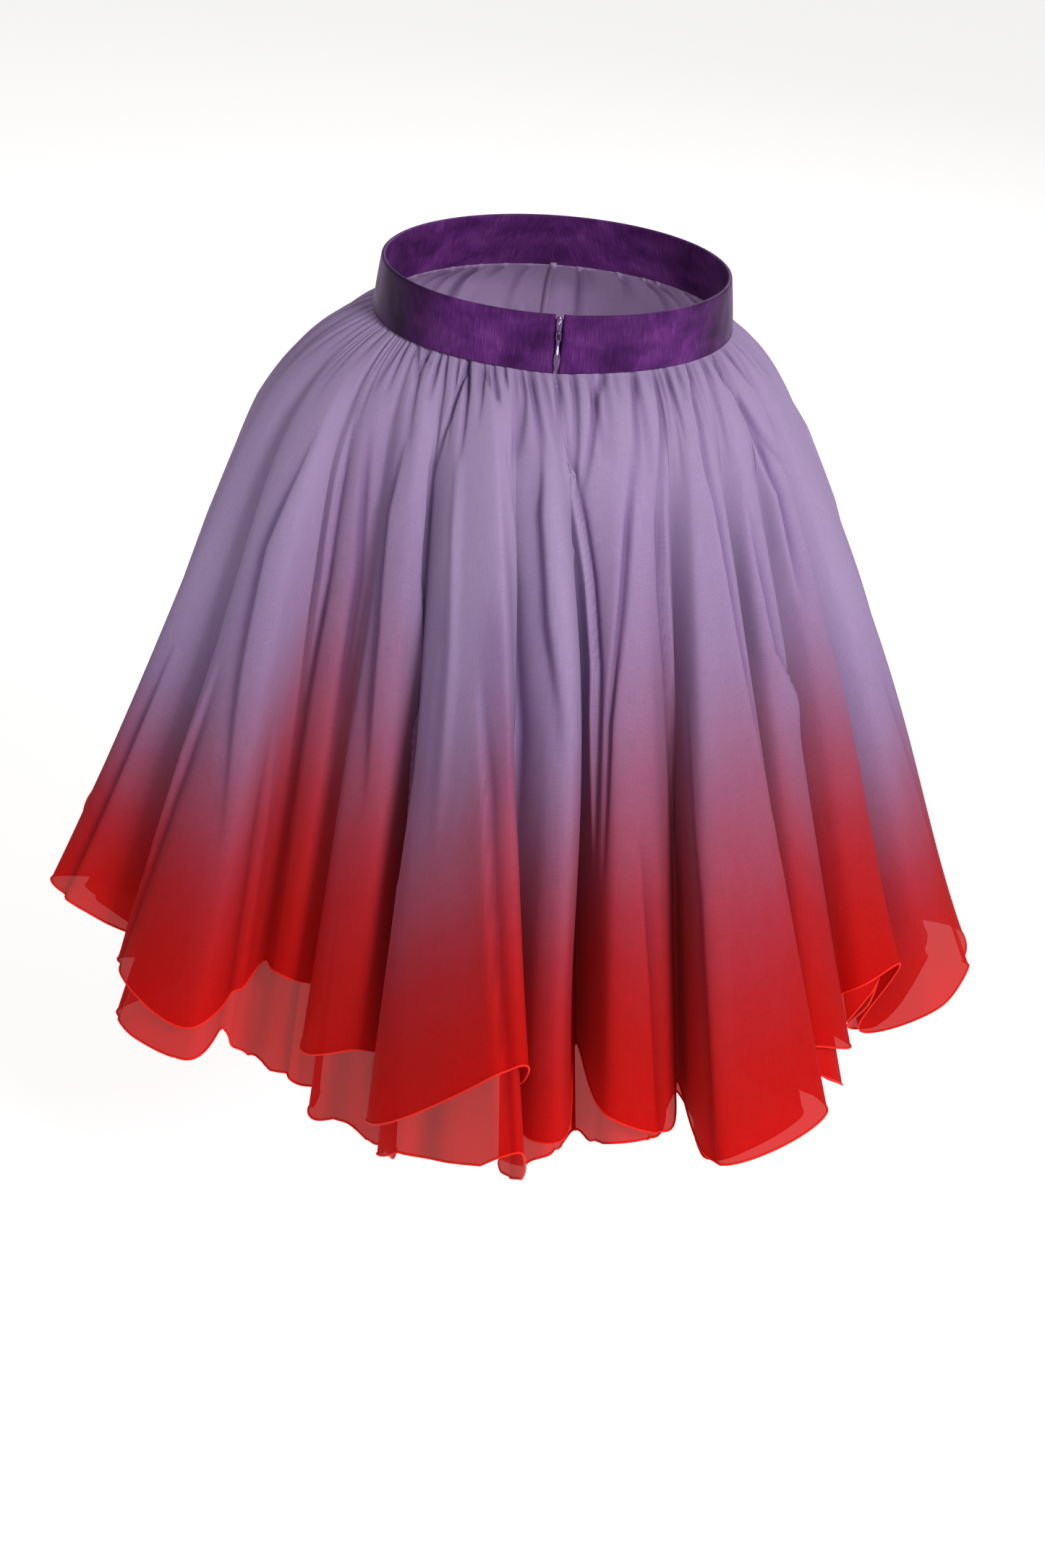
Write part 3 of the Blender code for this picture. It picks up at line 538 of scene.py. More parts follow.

# Creases placed one by one, as they lie across the back. Each row is depth, width at its top and at its foot in
# millimetres, step, and a path of places: millimetres down from the band, and place round the cloth. A step of
# 1 or -1 makes an edge with one side raised, and 0 a trough.
CREASES = [Crease(*row) for row in (
    (4.2, 1.6, 3.0, 0, ((0, 237.4), (30, 238.4), (72, 239.6))),
    (5.0, 1.6, 3.2, 0, ((0, 232.4), (10, 234.6), (38, 236.2), (74, 238.4))),
    (3.8, 1.4, 3.0, 0, ((0, 227.4), (17, 228.7), (64, 230.0))),
    (4.0, 1.4, 3.2, 0, ((0, 223.8), (25, 224.2), (76, 225.6))),
    (3.2, 1.4, 2.8, 0, ((0, 220.2), (10, 220.0), (42, 218.8))),
    (3.6, 1.4, 3.4, 0, ((0, 212.4), (17, 215.0), (78, 216.0))),
    (5.4, 1.6, 4.2, 0, ((0, 202.0), (12, 203.0), (29, 200.2), (47, 198.6), (92, 193.0))),
    (2.6, 1.1, 1.8, 0, ((0, 206.8), (12, 206.4))),
    (2.4, 1.6, 3.4, 0, ((0, 239.8), (25, 241.4), (66, 242.2))),
    (2.2, 1.8, 3.6, 0, ((0, 244.4), (21, 245.0), (72, 245.4))),
    (3.2, 1.5, 3.0, 0, ((0, 35.4), (14, 32.6), (66, 31.7))),
    (4.0, 1.2, 1.8, 0, ((0, 33.6), (9, 30.0))),
    (3.0, 1.2, 1.6, 0, ((0, 31.4), (8, 33.2))),
    (3.4, 1.3, 2.4, 0, ((0, 28.8), (28, 30.2))),
    (5.8, 1.5, 3.0, 0, ((0, 20.4), (7, 21.2), (38, 25.0), (70, 28.0))),
    (4.8, 1.5, 3.0, 0, ((0, 20.0), (14, 19.8), (58, 20.6))),
    (3.2, 1.4, 2.4, 0, ((0, 15.5), (34, 17.4))),
    (2.4, 2.2, 2.2, 0, ((2, 15.6), (10, 14.4), (14, 13.4))),
    (2.2, 1.8, 2.2, 0, ((9, 12.6), (20, 12.0))),
    (3.6, 1.0, 1.6, 0, ((0, 9.8), (12, 9.2))),
    (3.4, 1.2, 3.0, 0, ((0, 6.3), (10, 6.2), (60, 8.8))),
    (3.4, 1.2, 3.0, 0, ((0, 4.8), (14, 4.7), (56, 5.2))),
    (2.6, 2.4, 4.0, 0, ((0, 41.4), (34, 43.0))),
    (3.2, 1.8, 3.6, 0, ((0, 196.4), (20, 194.6), (60, 189.4))),
    (3.4, 2.4, 3.4, 1, ((50, 32.2), (100, 32.8), (190, 32.0), (330, 31.4))),
    (4.0, 2.0, 2.8, -1, ((34, 27.6), (70, 28.6), (145, 29.0), (240, 27.2), (350, 22.6))),
    (-2.6, 3.6, 5.4, 0, ((40, 20.6), (115, 20.0), (185, 19.4), (330, 19.2))),
    (3.6, 2.0, 2.8, -1, ((46, 11.4), (100, 9.6), (130, 8.5), (225, 7.8), (320, 7.8))),
    (3.2, 1.9, 2.8, 1, ((30, 5.0), (80, 5.8), (150, 5.8), (250, 5.0))),
    (4.6, 2.0, 3.0, -1, ((30, 241.0), (55, 240.0), (90, 238.2), (130, 236.6), (190, 235.4), (330, 235.6))),
    (4.4, 2.2, 4.0, 0, ((36, 229.8), (85, 231.0), (140, 231.8), (225, 233.4), (340, 233.8))),
    (4.2, 2.0, 2.8, 1, ((34, 224.4), (85, 226.1), (135, 226.0), (205, 225.0), (350, 224.0))),
    (3.6, 2.0, 3.0, -1, ((30, 216.6), (80, 215.5), (130, 215.0), (230, 214.3), (360, 213.6))),
    (4.0, 2.2, 3.4, -1, ((35, 200.6), (60, 199.0), (100, 197.2), (190, 197.2))),
    (3.8, 2.2, 3.4, -1, ((90, 205.0), (200, 204.2), (270, 200.6), (380, 199.4))),
    (3.4, 2.4, 3.6, -1, ((80, 209.2), (150, 210.2), (230, 210.6), (360, 210.4))),
    (3.0, 4.0, 6.0, 1, ((60, 53.4), (150, 56.0), (225, 55.4), (380, 53.4))),
    (2.6, 4.0, 6.0, -1, ((50, 45.6), (175, 44.9), (280, 46.4))),
    (3.4, 5.0, 9.0, 0, ((50, 40.6), (165, 37.6), (320, 38.4))),
    (2.6, 2.6, 3.6, -1, ((200, 16.8), (300, 15.8), (640, 14.4))),
    (2.4, 2.6, 3.6, 1, ((200, 220.4), (330, 219.0), (640, 218.2))),
    (3.0, 4.0, 6.0, 0, ((260, 212.6), (400, 212.0), (640, 211.6))),
    (3.0, 3.6, 6.0, -1, ((280, 230.4), (400, 229.8), (660, 229.2))),
    (2.6, 4.0, 6.0, 0, ((300, 11.6), (420, 11.2), (660, 10.8))),
    (3.0, 4.0, 6.0, 1, ((260, 24.0), (380, 23.0), (660, 22.0))),
    (3.4, 4.0, 7.0, -1, ((240, 58.4), (360, 59.4), (660, 60.6))),
    (2.8, 4.0, 7.0, 1, ((280, 50.6), (400, 50.2), (660, 49.6))),
    (3.0, 4.0, 7.0, 1, ((260, 70.6), (400, 71.0), (660, 71.6))),
    (3.0, 4.0, 7.0, -1, ((240, 186.0), (380, 185.0), (660, 184.0))),
)]
LIP_SPREAD = 4.4           # how far the raised side of an edge reaches, in widths
LOW_SPREAD = 2.4           # and its low side
EDGE_CRISP = 2.4
AT_SEAM = 0.45             # share of its depth that a gather has in the seam, where the band holds it flat
FULL_AT = 0.005            # how far down it has all of it
GATHER_FADES = 0.8         # power by which it fades as it runs down
CREASE_STARTS = 0.2        # share of its length in which a crease that starts lower down deepens
CREASE_ENDS = 0.35         # and in which it runs out
PLUMP = 0.0010             # how far the cloth stands out between its gathers
PLUMP_SPREADS = 0.003
# depth of a trough at which its painted shade is full
CREASE_SHADE_DEPTH = 0.0034

# Smaller gathers all round, and soft waves below them. Each gather is pulled in by the thread, so it is narrow
# and deep near the seam, and it opens and fades as it runs down. Round the sides and front, which the photo
# doesn't show, some run on as the long ones do across the back.
HIDDEN_FROM = 84           # the places round the cloth from which and to which the photo doesn't show it
HIDDEN_TO = 184
LONG_APART = 6.4           # from one long crease to the next there
rng = np.random.default_rng(7)
draw = rng.uniform


def places_round(count, shake):
    """Uneven places round the cloth, one after another, each drawn as it is needed."""
    for k in range(count):
        yield (k + draw(-shake, shake)) * AROUND / count


gathers = []
for at in places_round(60, 0.35):
    hidden = HIDDEN_FROM < at < HIDDEN_TO
    length = rng.choice((30, 50, 80, 130) if hidden else (22, 36, 60)) * draw(0.8, 1.2)
    depth = draw(2.0, 4.6) if hidden else draw(1.2, 2.6)
    gathers.append(Crease(depth, 1.5, draw(3.0, 5.5), 0, ((0, at), (length, at + draw(-0.8, 0.8)))))
for at in places_round(80, 0.4):
    gathers.append(Crease(draw(0.8, 2.0), 1.1, 2.2, 0,
                          ((0, at), (draw(9, 30), at + draw(-0.5, 0.5)))))
for k in range(15):
    at = HIDDEN_FROM + 2 + k * LONG_APART + draw(-1.6, 1.6)
    start = draw(30, 110)
    gathers.append(Crease(draw(3.0, 4.6), 2.2, draw(2.8, 3.8), rng.choice((-1, 1)),
                          ((start, at), (start + draw(130, 260), at + draw(-1.6, 1.6)))))
waves = []
for at in places_round(44, 0.4):
    start = draw(30, 160)
    waves.append(Crease(draw(-2.0, 2.0), draw(8, 14), draw(12, 24), 0,
                        ((start, at), (start + draw(150, 330), at + draw(-2.5, 2.5)))))
gathers += CREASES
outer_grid, outer_crease_shade = add_relief(outer_grid, outer_down, columns.number, gathers + waves)
dyed = np.interp(columns.number, *np.array(DYED).T, period=AROUND) * MM

silk_organza, tree = new_material("dip-dyed silk organza")
# Woven of fine hard-twisted silk, and sheer: light comes through it and picks up its colour, and its face is
# dry, with hardly any gloss. The dye climbs in a blurred line. Uneven threads show as faint streaks both ways,
# drawn 0.9 mm wide where real ones are 0.2 mm, which is too fine to show.
DYE_SPAN = 2.5             # the top of the ramp of dye, in heights of the red
dye = add_node(tree, "Attribute", attribute_name="dye")
drift = ranged(tree, cloth_noise(tree, 14, 7, 2), -0.06, 0.06)
height = add_node(tree, "Math", {0: dye.outputs["Fac"], 1: drift}, operation="ADD")
dip = ramp(tree, height, (0.0, "#C60E0C"), (0.12, "#C01A1A"), (0.23, "#B8262E"), (0.32, "#B03646"),
           (0.42, "#A84E66"), (0.51, "#A2607E"), (0.60, "#A07498"), (0.70, "#A284AC"), (0.84, "#A890B8"),
           (1.0, "#AE98BE"))
# Painted shade: the colour is darkened in the troughs of the gathers and creases, the more the deeper they are
painted_crease_shade = add_node(tree, "Attribute", attribute_name="painted_crease_shade")
crease_shade_share = ranged(tree, painted_crease_shade.outputs["Fac"], 0.0, 0.5)
dip = multiplied(tree, crease_shade_share, dip, "#A07CB4")
warp = cloth_noise(tree, 1100, 60, 2)
weft = cloth_noise(tree, 60, 1100, 2)
threads = add_node(tree, "Math", {0: warp, 1: weft}, operation="ADD")
grain = ranged(tree, threads, 0.90, 1.08, first=0.6, last=1.4)
colour = multiplied(tree, 1.0, dip, grain)
bump = add_node(tree, "Bump", {"Height": threads, "Strength": 0.06, "Distance": 0.0002})
face = add_node(tree, "BsdfPrincipled", {
    "Base Color": colour, "Roughness": 0.75, "Specular IOR Level": 0.06, "Sheen Weight": 0.05,
    "Sheen Roughness": 0.5, "Sheen Tint": colour, "Normal": bump})
lit_through = add_node(tree, "BsdfTranslucent", {"Color": colour})
cloth = add_node(tree, "MixShader", {0: 0.30, 1: face, 2: lit_through})
tint = add_node(tree, "MixRGB", {"Fac": 0.30, "Color1": colour, "Color2": (1, 1, 1, 1)})
holes = add_node(tree, "BsdfTransparent", {"Color": tint})
openness = ranged(tree, threads, 0.15, 0.10, first=0.6, last=1.4)
sheer = add_node(tree, "MixShader", {0: openness, 1: cloth, 2: holes})
add_node(tree, "OutputMaterial", {"Surface": sheer})

rolled_silk, tree = new_material("rolled silk hem")
# The raw edge is rolled to a 1.6 mm cord and whipped with silk thread, so the dye is densest there and it
# catches the light as a bright line. The whip stitches show faintly, one every 4 mm.
dye = add_node(tree, "Attribute", attribute_name="dye")
edge = ramp(tree, dye.outputs["Fac"], (0.0, "#F02212"), (0.3, "#D81E1A"))
flat = add_node(tree, "UVMap", uv_map="flat_cloth")
stitch = add_node(tree, "TexWave", {"Vector": flat, "Scale": 80, "Distortion": 0.4, "Detail": 1})
whipped = add_node(tree, "Bump", {"Height": stitch.outputs["Fac"], "Strength": 0.4, "Distance": 0.0004})
shader = add_node(tree, "BsdfPrincipled", {
    "Base Color": edge, "Roughness": 0.55, "Specular IOR Level": 0.15, "Normal": whipped})
back = add_node(tree, "BsdfTranslucent", {"Color": edge})
cord = add_node(tree, "MixShader", {0: 0.25, 1: shader, 2: back})
add_node(tree, "OutputMaterial", {"Surface": cord})

seams = (0, LEFT_SEAM, FRONT_SEAM, RIGHT_SEAM, len(FOLDS))
starts = [UNITS * sum(fold.gathers for fold in FOLDS[:i]) for i in seams]
PANELS = tuple(zip(("left_back", "left_front", "right_front", "right_back"), starts[:-1], starts[1:]))
HEM_RADIUS = 0.0008
HEM_SIDES = 8
SEAM_WIDE = 0.0045         # a French seam, folded over to one side
SEAM_THICK = 0.0006
SEAM_PAST = 0.0005         # how far it reaches past the panel's edge


def ring_faces(rings, sides, closed=False):
    """Faces of a body through rings of points, with its two ends. If closed, its last ring joins its first."""
    faces = []
    for i in range(rings if closed else rings - 1):
        here, after = i * sides, (i + 1) % rings * sides
        for j in range(sides):
            k = (j + 1) % sides
            faces.append((here + j, here + k, after + k, after + j))
    if closed:
        return faces
    last = (rings - 1) * sides
    return faces + [tuple(reversed(range(sides))), tuple(last + j for j in range(sides))]


def tube(path, radius, sides):
    """Points and faces of a closed tube along a path, with its distance along and round."""
    path = np.asarray(path)
    ahead = np.gradient(path, axis=0)
    ahead /= np.linalg.norm(ahead, axis=1)[:, None]
    side = np.cross(ahead, (0, 0, 1))
    side /= np.linalg.norm(side, axis=1)[:, None]
    rise = np.cross(side, ahead)
    turn = np.arange(sides) * 2 * math.pi / sides
    ring = side[:, None] * np.cos(turn)[None, :, None] + rise[:, None] * np.sin(turn)[None, :, None]
    points = (path[:, None] + ring * np.asarray(radius).reshape(-1, 1, 1)).reshape(-1, 3)
    length = np.concatenate(([0], np.cumsum(np.linalg.norm(np.diff(path, axis=0), axis=1))))
    spread = np.stack((np.repeat(length, sides), np.tile(turn * HEM_RADIUS, len(path))), axis=1)
    return points, ring_faces(len(path), sides), spread


def add_layer(layer, grid, painted_crease_shade, above_hem, dyed):
    """The four panels of one layer, each a sheet with its rolled hem and the seam at its first edge."""
    across = np.concatenate((np.zeros((len(grid), 1)), np.cumsum(np.linalg.norm(
        np.diff(np.concatenate((grid, grid[:, :1]), axis=1), axis=1), axis=2), axis=1)), axis=1)
    along = np.roll(grid, -1, axis=1) - grid
    along /= np.linalg.norm(along, axis=2)[:, :, None]
    fall = np.gradient(grid, axis=0)
    inward = np.cross(along, fall)
    inward /= np.linalg.norm(inward, axis=2)[:, :, None]
    if (inward[:, :, :2] * grid[:, :, :2]).sum(axis=2).mean() > 0:
        inward = -inward
    for name, first, last in PANELS:
        picked = np.arange(first * FINE, last * FINE + 1)
        around = picked % grid.shape[1]
        sheet = grid[:, around]
        dye = above_hem[:, around] / dyed[around][None] / DYE_SPAN
        flat_x = np.repeat(across[-1, picked][None], len(grid), axis=0)
        spread = np.stack((flat_x, above_hem[:, around]), axis=2).reshape(-1, 2)
        title = layer + "_" + name
        panel = add_piece(title + "_organza", sheet.reshape(-1, 3), grid_faces(*sheet.shape[:2]), silk_organza,
                          spread=spread, values={"dye": dye.ravel(), "painted_crease_shade": painted_crease_shade[:, around].ravel()})
        points, faces, spread = tube(sheet[-1], HEM_RADIUS, HEM_SIDES)
        hem = add_piece(title + "_rolled_hem", points, faces, rolled_silk, spread=spread,
                        values={"dye": np.repeat(dye[-1], HEM_SIDES)})
        column = around[0]
        ribbon = []
        for side, depth in ((0, 0.3), (0, 1.3), (1, 1.3), (1, 0.3)):
            ribbon.append(grid[:, column] + along[:, column] * (side * SEAM_WIDE - SEAM_PAST)
                          + inward[:, column] * depth * SEAM_THICK)
        ribbon = np.stack(ribbon, axis=1).reshape(-1, 3)
        spread = np.stack((np.tile((0, 0, SEAM_WIDE, SEAM_WIDE), len(grid)),
                           np.repeat(above_hem[:, column], 4)), axis=1)
        seam = add_piece(title + "_french_seam", ribbon, ring_faces(len(grid), 4), silk_organza,
                         spread=spread, values={"dye": np.repeat(dye[:, 0], 4)})
        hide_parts(title)


def length_to_hem(grid):
    """For each point of a grid, the length of cloth from it down to the hem."""
    steps = np.linalg.norm(np.diff(grid, axis=0), axis=2)
    return np.concatenate((np.cumsum(steps[::-1], axis=0)[::-1], np.zeros((1, grid.shape[1]))), axis=0)


add_layer("outer", outer_grid, outer_crease_shade, length_to_hem(outer_grid), dyed)

# Under skirt
# Four more panels of the same organza, cut longer and gathered in with the outer ones. They lie just inside
# them, tuck back at the ridges, and hang below in smaller folds of their own.
UNDER_ROWS = 8             # rows of points below the level of the outer hem
PAST_HEM = 1.06


def refine(row, times):
    """A closed row of points with times as many, on a smooth curve through the first ones."""
    before, after, beyond = np.roll(row, 1, axis=0), np.roll(row, -1, axis=0), np.roll(row, -2, axis=0)
    parts = []
    for t in np.arange(times) / times:
        parts.append(0.5 * (2 * row + (after - before) * t + (2 * before - 5 * row + 4 * after - beyond) * t * t
                            + (3 * row - before - 3 * after + beyond) * t ** 3))
    return np.stack(parts, axis=1).reshape(-1, row.shape[1])


coarse = make_columns(1)
under_grid = [refine(cloth_row(coarse, level, True), FINE) for level in levels]
longer = np.interp(columns.number, *np.array(LONGER).T, period=AROUND) * MM
beyond = refine(cloth_row(coarse, PAST_HEM, True), FINE) - under_grid[-1]
beyond *= (longer / np.linalg.norm(beyond, axis=1))[:, None]
for step in range(1, UNDER_ROWS + 1):
    under_grid.append(under_grid[ROWS - 1] + beyond * step / UNDER_ROWS)
under_grid = np.array([under_grid[0] + np.array((0, 0, TUCKED_UP))] + under_grid)
past_hem = np.arange(1, UNDER_ROWS + 1) / UNDER_ROWS * longer.mean()
under_down = np.concatenate((outer_down, CLOTH_LONG + past_hem))
ripples = []
for at in places_round(56, 0.4):
    start = draw(300, 400)
    ripples.append(Crease(draw(-3.5, 3.5), draw(8, 12), draw(14, 24), 0,
                          ((start, at), (start + 500, at + draw(-1.5, 1.5)))))
under_grid, under_crease_shade = add_relief(under_grid, under_down, columns.number, gathers + ripples)
add_layer("under", under_grid, under_crease_shade, length_to_hem(under_grid), dyed + longer)

# Zip tape and coil
# An invisible zip: two woven polyester tapes sewn inside the slit, with a nylon coil along the edge of each.
# Closed, the coils hook into each other, and the tapes' rolled edges meet over them.
TAPE_WIDE = 0.018
TAPE_THICK = 0.0006
TAPE_TOP = 0.0150
TAPE_LOW = -0.158
TAPE_EDGE = 0.0002         # its inner edge, from the middle
TAPE_ROWS = 90
COIL_PITCH = 0.00095
COIL_WIRE = 0.00022
COIL_HALF = 0.0010
COIL_DEEP = 0.0007
COIL_SHORT = 0.003         # how far each end of the coil stops short of the tape's
EDGE_RADIUS = 0.0008
RIDGE_OUT = 0.0016         # how far the rolled edges stand out of the tape, in the band's slit
RIDGE_TOP = 0.0044
RIDGE_LOW = -0.0187

tape_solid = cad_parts["zip_tape"]
tape_side = np.array([v.co for v in tape_solid.data.vertices if v.co.x > TAPE_WIDE / 2 - 0.0005])
tape_side = tape_side[np.argsort(-tape_side[:, 2])]


def tape_reach(height):
    """The tape's place along Y at a height, halfway through its solid."""
    pairs = tape_side[: len(tape_side) // 2 * 2].reshape(-1, 2, 3).mean(axis=1)
    return np.interp(-height, -pairs[:, 2], pairs[:, 1])


woven_tape, tree = new_material("woven polyester zip tape")
# Closely woven and dyed plum: matt, with a slanting rib that runs the other way on the second tape. It is drawn
# 1.4 mm wide, where a real one is 0.5 mm.
flat = add_node(tree, "UVMap", uv_map="flat_cloth")
rib = add_node(tree, "TexWave", {"Vector": flat, "Scale": 160, "Distortion": 1.0, "Detail": 1},
               bands_direction="DIAGONAL")
weave = ramp(tree, rib.outputs["Fac"], (0.2, "#2A1236"), (0.8, "#43205A"))
bump = add_node(tree, "Bump", {"Height": rib.outputs["Fac"], "Strength": 0.3, "Distance": 0.0002})
shader = add_node(tree, "BsdfPrincipled", {"Base Color": weave, "Roughness": 0.8, "Normal": bump})
add_node(tree, "OutputMaterial", {"Surface": shader})

points, spread, faces = [], [], []
for side in (-1, 1):
    start = len(points)
    for height in np.linspace(TAPE_TOP, TAPE_LOW, TAPE_ROWS):
        y = tape_reach(height)
        for x, depth in ((TAPE_EDGE, -1), (TAPE_WIDE / 2, -1), (TAPE_WIDE / 2, 1), (TAPE_EDGE, 1)):
            points.append((x * side, y + depth * TAPE_THICK / 2, height))
            spread.append((x, height))
    for face in ring_faces(TAPE_ROWS, 4):
        faces.append(tuple(start + n for n in (face if side < 0 else face[::-1])))
tape = add_piece("zip_tapes", points, faces, woven_tape, spread=spread)
for side, name in ((-1, "right"), (1, "left")):
    path = [(side * EDGE_RADIUS * 0.98, tape_reach(z) + RIDGE_OUT - EDGE_RADIUS, z)
            for z in np.linspace(RIDGE_TOP, RIDGE_LOW, 30)]
    points, faces, spread = tube(path, EDGE_RADIUS, 10)
    add_piece("zip_tape_" + name + "_rolled_edge", points, faces, woven_tape, spread=spread)
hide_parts("zip_tape")

nylon_coil, tree = new_material("nylon coil")
# Extruded nylon wire wound and heat-set: smooth, with a soft plastic gloss
wear = add_node(tree, "TexNoise", {"Scale": 900, "Detail": 2})
shade = ramp(tree, wear, (0.35, "#3B1B4E"), (0.65, "#4E2866"))
shader = add_node(tree, "BsdfPrincipled", {"Base Color": shade, "Roughness": 0.35, "IOR": 1.53})
add_node(tree, "OutputMaterial", {"Surface": shader})
for side, name in ((-1, "right"), (1, "left")):
    count = int((TAPE_TOP - TAPE_LOW - 2 * COIL_SHORT) / COIL_PITCH)
    turn = np.arange(count * 10 + 1) * 2 * math.pi / 10
    z = TAPE_TOP - COIL_SHORT - turn / (2 * math.pi) * COIL_PITCH - (COIL_PITCH / 2 if side > 0 else 0)
    x = side * (COIL_HALF * 0.55 + COIL_HALF * 0.75 * np.cos(turn))
    y = tape_reach(z) - TAPE_THICK / 2 - COIL_DEEP / 2 - COIL_WIRE + COIL_DEEP / 2 * np.sin(turn)
    points, faces, spread = tube(np.stack((x, y, z), axis=1), COIL_WIRE, 5)
    add_piece("zip_coil_" + name, points, faces, nylon_coil, spread=spread)

# Slider
# Die-cast zinc with lilac enamel, 13 mm long: a slim body with rounded shoulders that narrows downwards, a rim
# at its crown in pale zinc as a painted glint, and a staple that holds the pull tab.
ZIP_AXIS_HEIGHT = 0.008
ZIP_AXIS_OUT = 0.0013
SLIDER_WIDE = 0.0042
SLIDER_TOP = 0.0182
SLIDER_FACE = 0.0004 - ZIP_AXIS_OUT
SLIDER_DEEP = 0.0030
# Distance down from its top, and its share of the full width there
SLIDER_SHAPE = ((0.0, 0.35), (0.0004, 0.62), (0.0012, 0.88), (0.0028, 1.0), (0.0060, 0.98), (0.0090, 0.80),
                (0.0112, 0.68), (0.0124, 0.60), (0.0130, 0.40))
STAPLE_BAR = 0.0008
STAPLE_WIDE = 0.0010
STAPLE_CLEAR = 0.00095
STAPLE_SUNK = 0.0005       # how far its ends are sunk in the slider's face
BEAD_RADIUS = 0.0004
# The rim's line across and up from the pull tab's pin, in millimetres, and its share of the bead's radius
CROWN_BEAD = ((0.0004, 10.0, 0.5), (0.1, 9.9, 1), (-0.7, 9.2, 1), (-0.9, 8.0, 1), (-0.6, 6.9, 1),
              (0.1, 6.1, 0.9), (0.5, 5.2, 0.7), (0.4, 4.3, 0.4))
ZIP_LEAN = math.atan2(BAND_TOP_DEEP * (BAND_FLARE - 1), BAND_HEIGHT)
zip_frame = (Matrix.Translation((0, band_half(ZIP_AXIS_HEIGHT)[1] + ZIP_AXIS_OUT, ZIP_AXIS_HEIGHT))
             @ Matrix.Rotation(ZIP_LEAN, 4, "X"))


def on_zip(points):
    """Points given from the pull tab's pin, in the skirt's own frame."""
    return [tuple(zip_frame @ Vector([float(v) for v in p])) for p in points]


def oval(wide, deep, power_x=1.0, power_y=1.0, sides=20):
    """Places round an oval, given half its width and depth. Powers under 1 fill out its corners."""
    places = []
    for step in range(sides):
        x, y = math.cos(step * 2 * math.pi / sides), math.sin(step * 2 * math.pi / sides)
        places.append((math.copysign(abs(x) ** power_x, x) * wide, math.copysign(abs(y) ** power_y, y) * deep))
    return places


def add_cast(name, rings, finish, body="skirt", closed=False):
    """A cast piece through rings of points, given from the pull tab's pin."""
    points = on_zip([p for ring in rings for p in ring])
    return add_piece(name, points, ring_faces(len(rings), len(rings[0]), closed), finish, body)


enamelled_zinc, tree = new_material("enamelled zinc")
# Die-cast, then sprayed and baked: a thin glossy lilac coat, a little darker in fine scratches
where = add_node(tree, "TexCoord").outputs["Object"]
scuffs = add_node(tree, "TexNoise", {"Vector": where, "Scale": 1400, "Detail": 4})
coat = ramp(tree, scuffs, (0.35, "#4A3060"), (0.65, "#6C5082"))
gloss = ranged(tree, scuffs, 0.14, 0.30)
shader = add_node(tree, "BsdfPrincipled", {"Base Color": coat, "Roughness": gloss, "Metallic": 0.5,
                                           "Coat Weight": 0.4, "Coat Roughness": 0.12})
add_node(tree, "OutputMaterial", {"Surface": shader})

glint_zinc, tree = new_material("zinc with painted glint")
# Pale bright zinc as a painted glint, on the slider's crown rim and the pull's spine
where = add_node(tree, "TexCoord").outputs["Object"]
scuffs = add_node(tree, "TexNoise", {"Vector": where, "Scale": 2200, "Detail": 3})
glint_colour = ramp(tree, scuffs, (0.35, "#D9D2DE"), (0.65, "#F4F0F6"))
shader = add_node(tree, "BsdfPrincipled", {"Base Color": glint_colour, "Roughness": 0.35, "Metallic": 0.7})
add_node(tree, "OutputMaterial", {"Surface": shader})

rings = []
for down, share in SLIDER_SHAPE:
    z = SLIDER_TOP - ZIP_AXIS_HEIGHT - down
    ring = oval(SLIDER_WIDE / 2 * share, SLIDER_DEEP / 2 * min(1.0, share + 0.15), 0.6, 0.6)
    rings.append([(x, y + SLIDER_FACE - SLIDER_DEEP / 2, z) for x, y in ring])
slider = add_cast("zip_slider_body", rings, enamelled_zinc)
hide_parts("zip_slider")
middle = STAPLE_CLEAR + STAPLE_BAR / 2
path = [(SLIDER_FACE - STAPLE_SUNK, middle)]
for angle in np.radians(np.linspace(90, -90, 13)):
    path.append((middle * math.cos(angle), middle * math.sin(angle)))
path.append((SLIDER_FACE - STAPLE_SUNK, -middle))
rings = []
for i, (y, z) in enumerate(path):
    y0, z0 = path[max(i - 1, 0)]
    y1, z1 = path[min(i + 1, len(path) - 1)]
    side = Vector((1, 0, 0)).cross(Vector((0, y1 - y0, z1 - z0)).normalized())
    ring = oval(STAPLE_WIDE / 2, STAPLE_BAR / 2, sides=8)
    rings.append([Vector((across, y, z)) + side * out for across, out in ring])
add_cast("zip_slider_staple", rings, enamelled_zinc)
# The crown's rim, a curved bead from one shoulder down to the nose, in pale zinc as a painted glint
path = [(x * MM, SLIDER_FACE + 0.0001, z * MM) for x, z, _ in CROWN_BEAD]
points, faces, spread = tube(path, np.array([swell for _, _, swell in CROWN_BEAD]) * BEAD_RADIUS, 8)
add_piece("zip_slider_crown_rim_glint", on_zip(points), faces, glint_zinc, spread=spread)
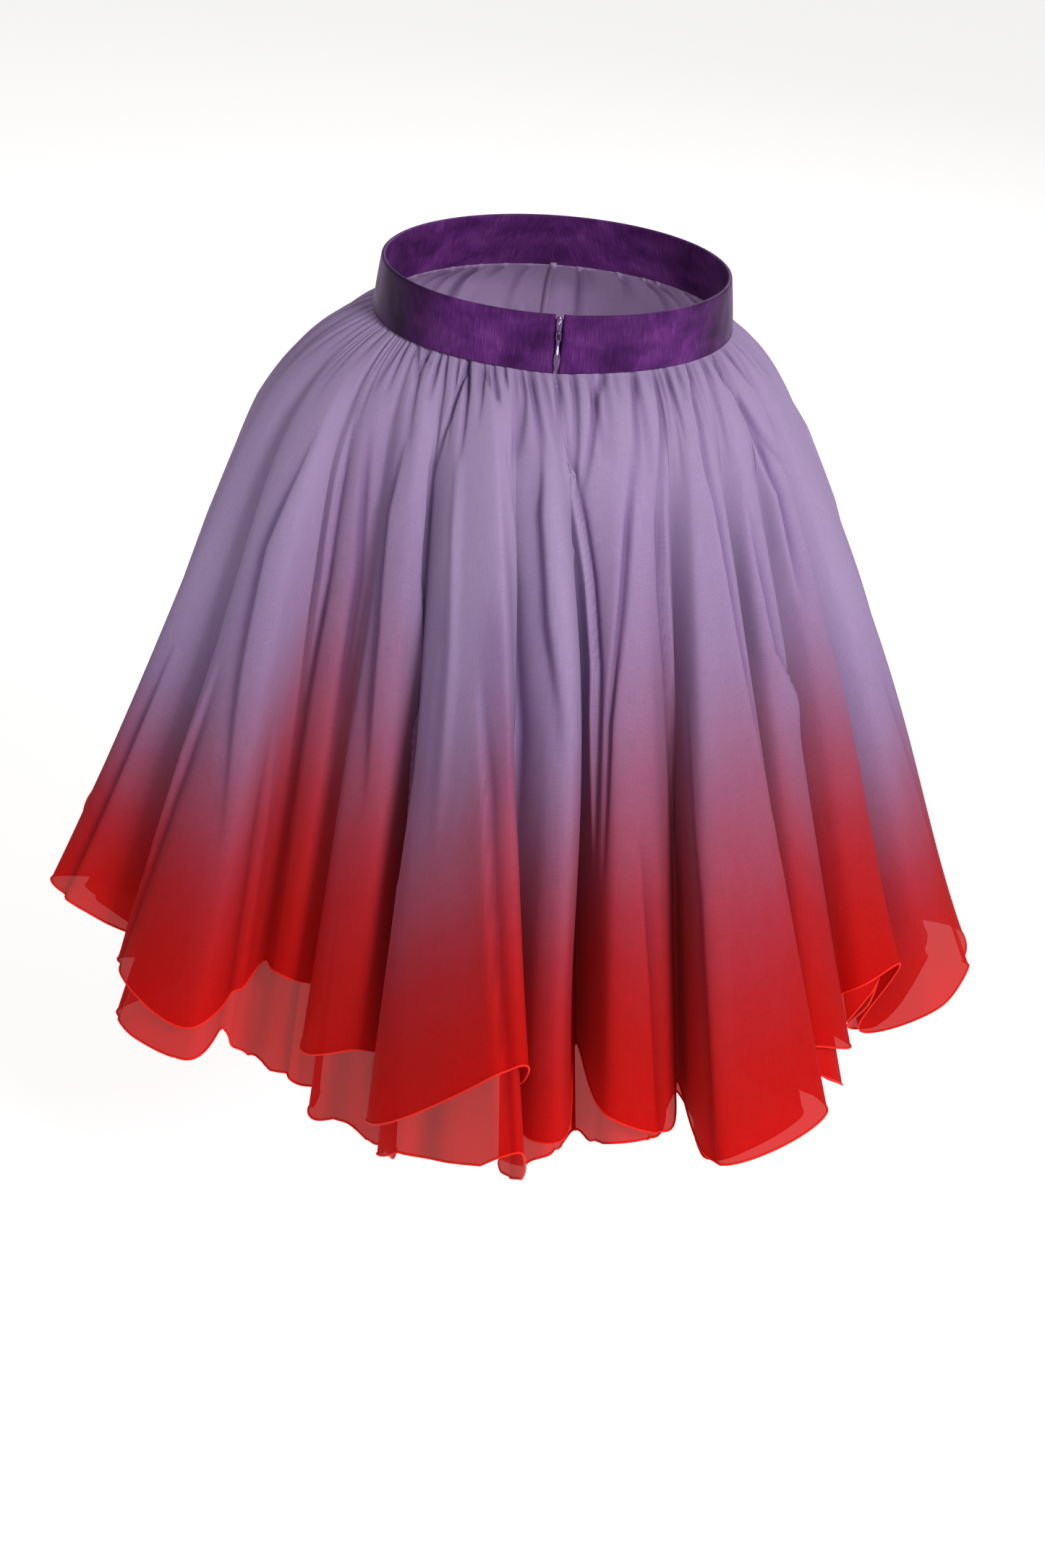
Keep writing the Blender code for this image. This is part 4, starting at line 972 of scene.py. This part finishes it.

# Pull tab
# The same enamelled zinc, 27 mm long: an oblong eye hooked in the staple, a thin neck and a long teardrop with
# a raised spine and a rounded rim. The spine is pale zinc, a painted glint. Each table gives places down from
# the pin, in millimetres.
PULL_THICK = 0.0010
FULL_THICK_WIDE = 0.0016   # how wide it is where it gets its full thickness
EYE_WIRE = 0.0008
SPINE_HIGH = 0.35          # the spine's height, as a share of half its width
PULL_WIDTHS = ((4.8, 0.6), (5.6, 1.25), (6.6, 0.95), (9.0, 0.85), (12.4, 1.20), (15.6, 1.95), (17.4, 2.20),
               (19.4, 2.20), (22.4, 1.65), (25.4, 0.90), (26.8, 0.45), (27.2, 0.15))
SPINE = ((8.4, 0.1), (9.4, 0.45), (11.0, 0.62), (12.8, 0.66), (14.2, 0.5), (15.2, 0.1))
EYE = ((0.0, 1.35), (0.0, 0.7), (0.0, 0.0), (0.0, -0.7), (0.0, -1.35), (2.6, -1.35), (4.4, -1.30), (5.6, -0.85),
       (6.1, 0.0), (5.6, 0.85), (4.4, 1.30), (2.6, 1.35))
down, half_widths = np.array(PULL_WIDTHS).T
rings = []
for at in np.linspace(down[0], down[-1], 46):
    wide = np.interp(at, down, half_widths) * MM
    thick = PULL_THICK / 2 * min(1.0, 0.5 + wide / FULL_THICK_WIDE)
    rings.append([(x, y, -at * MM) for x, y in oval(wide, thick, power_y=0.8)])
pull = add_cast("pull_tab_teardrop", rings, enamelled_zinc, body="pull_tab")
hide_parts("zip_pull")
# The spine down its neck, in pale zinc as a painted glint
rings = []
for at, wide in SPINE:
    ring = oval(wide * MM, wide * MM * SPINE_HIGH, sides=12)
    rings.append([(x, y + PULL_THICK / 2, -at * MM) for x, y in ring])
add_cast("pull_tab_spine_glint", rings, glint_zinc, body="pull_tab")
eye_curve = refine(np.array(EYE) * MM, 6)
rings = []
for i, (z, x) in enumerate(eye_curve):
    ahead = eye_curve[(i + 1) % len(eye_curve)] - eye_curve[i - 1]
    ahead /= np.linalg.norm(ahead)
    ring = oval(EYE_WIRE / 2, PULL_THICK / 2, sides=8)
    rings.append([(x - ahead[0] * out, y, -(z + ahead[1] * out)) for out, y in ring])
add_cast("pull_tab_eye", rings, enamelled_zinc, body="pull_tab", closed=True)
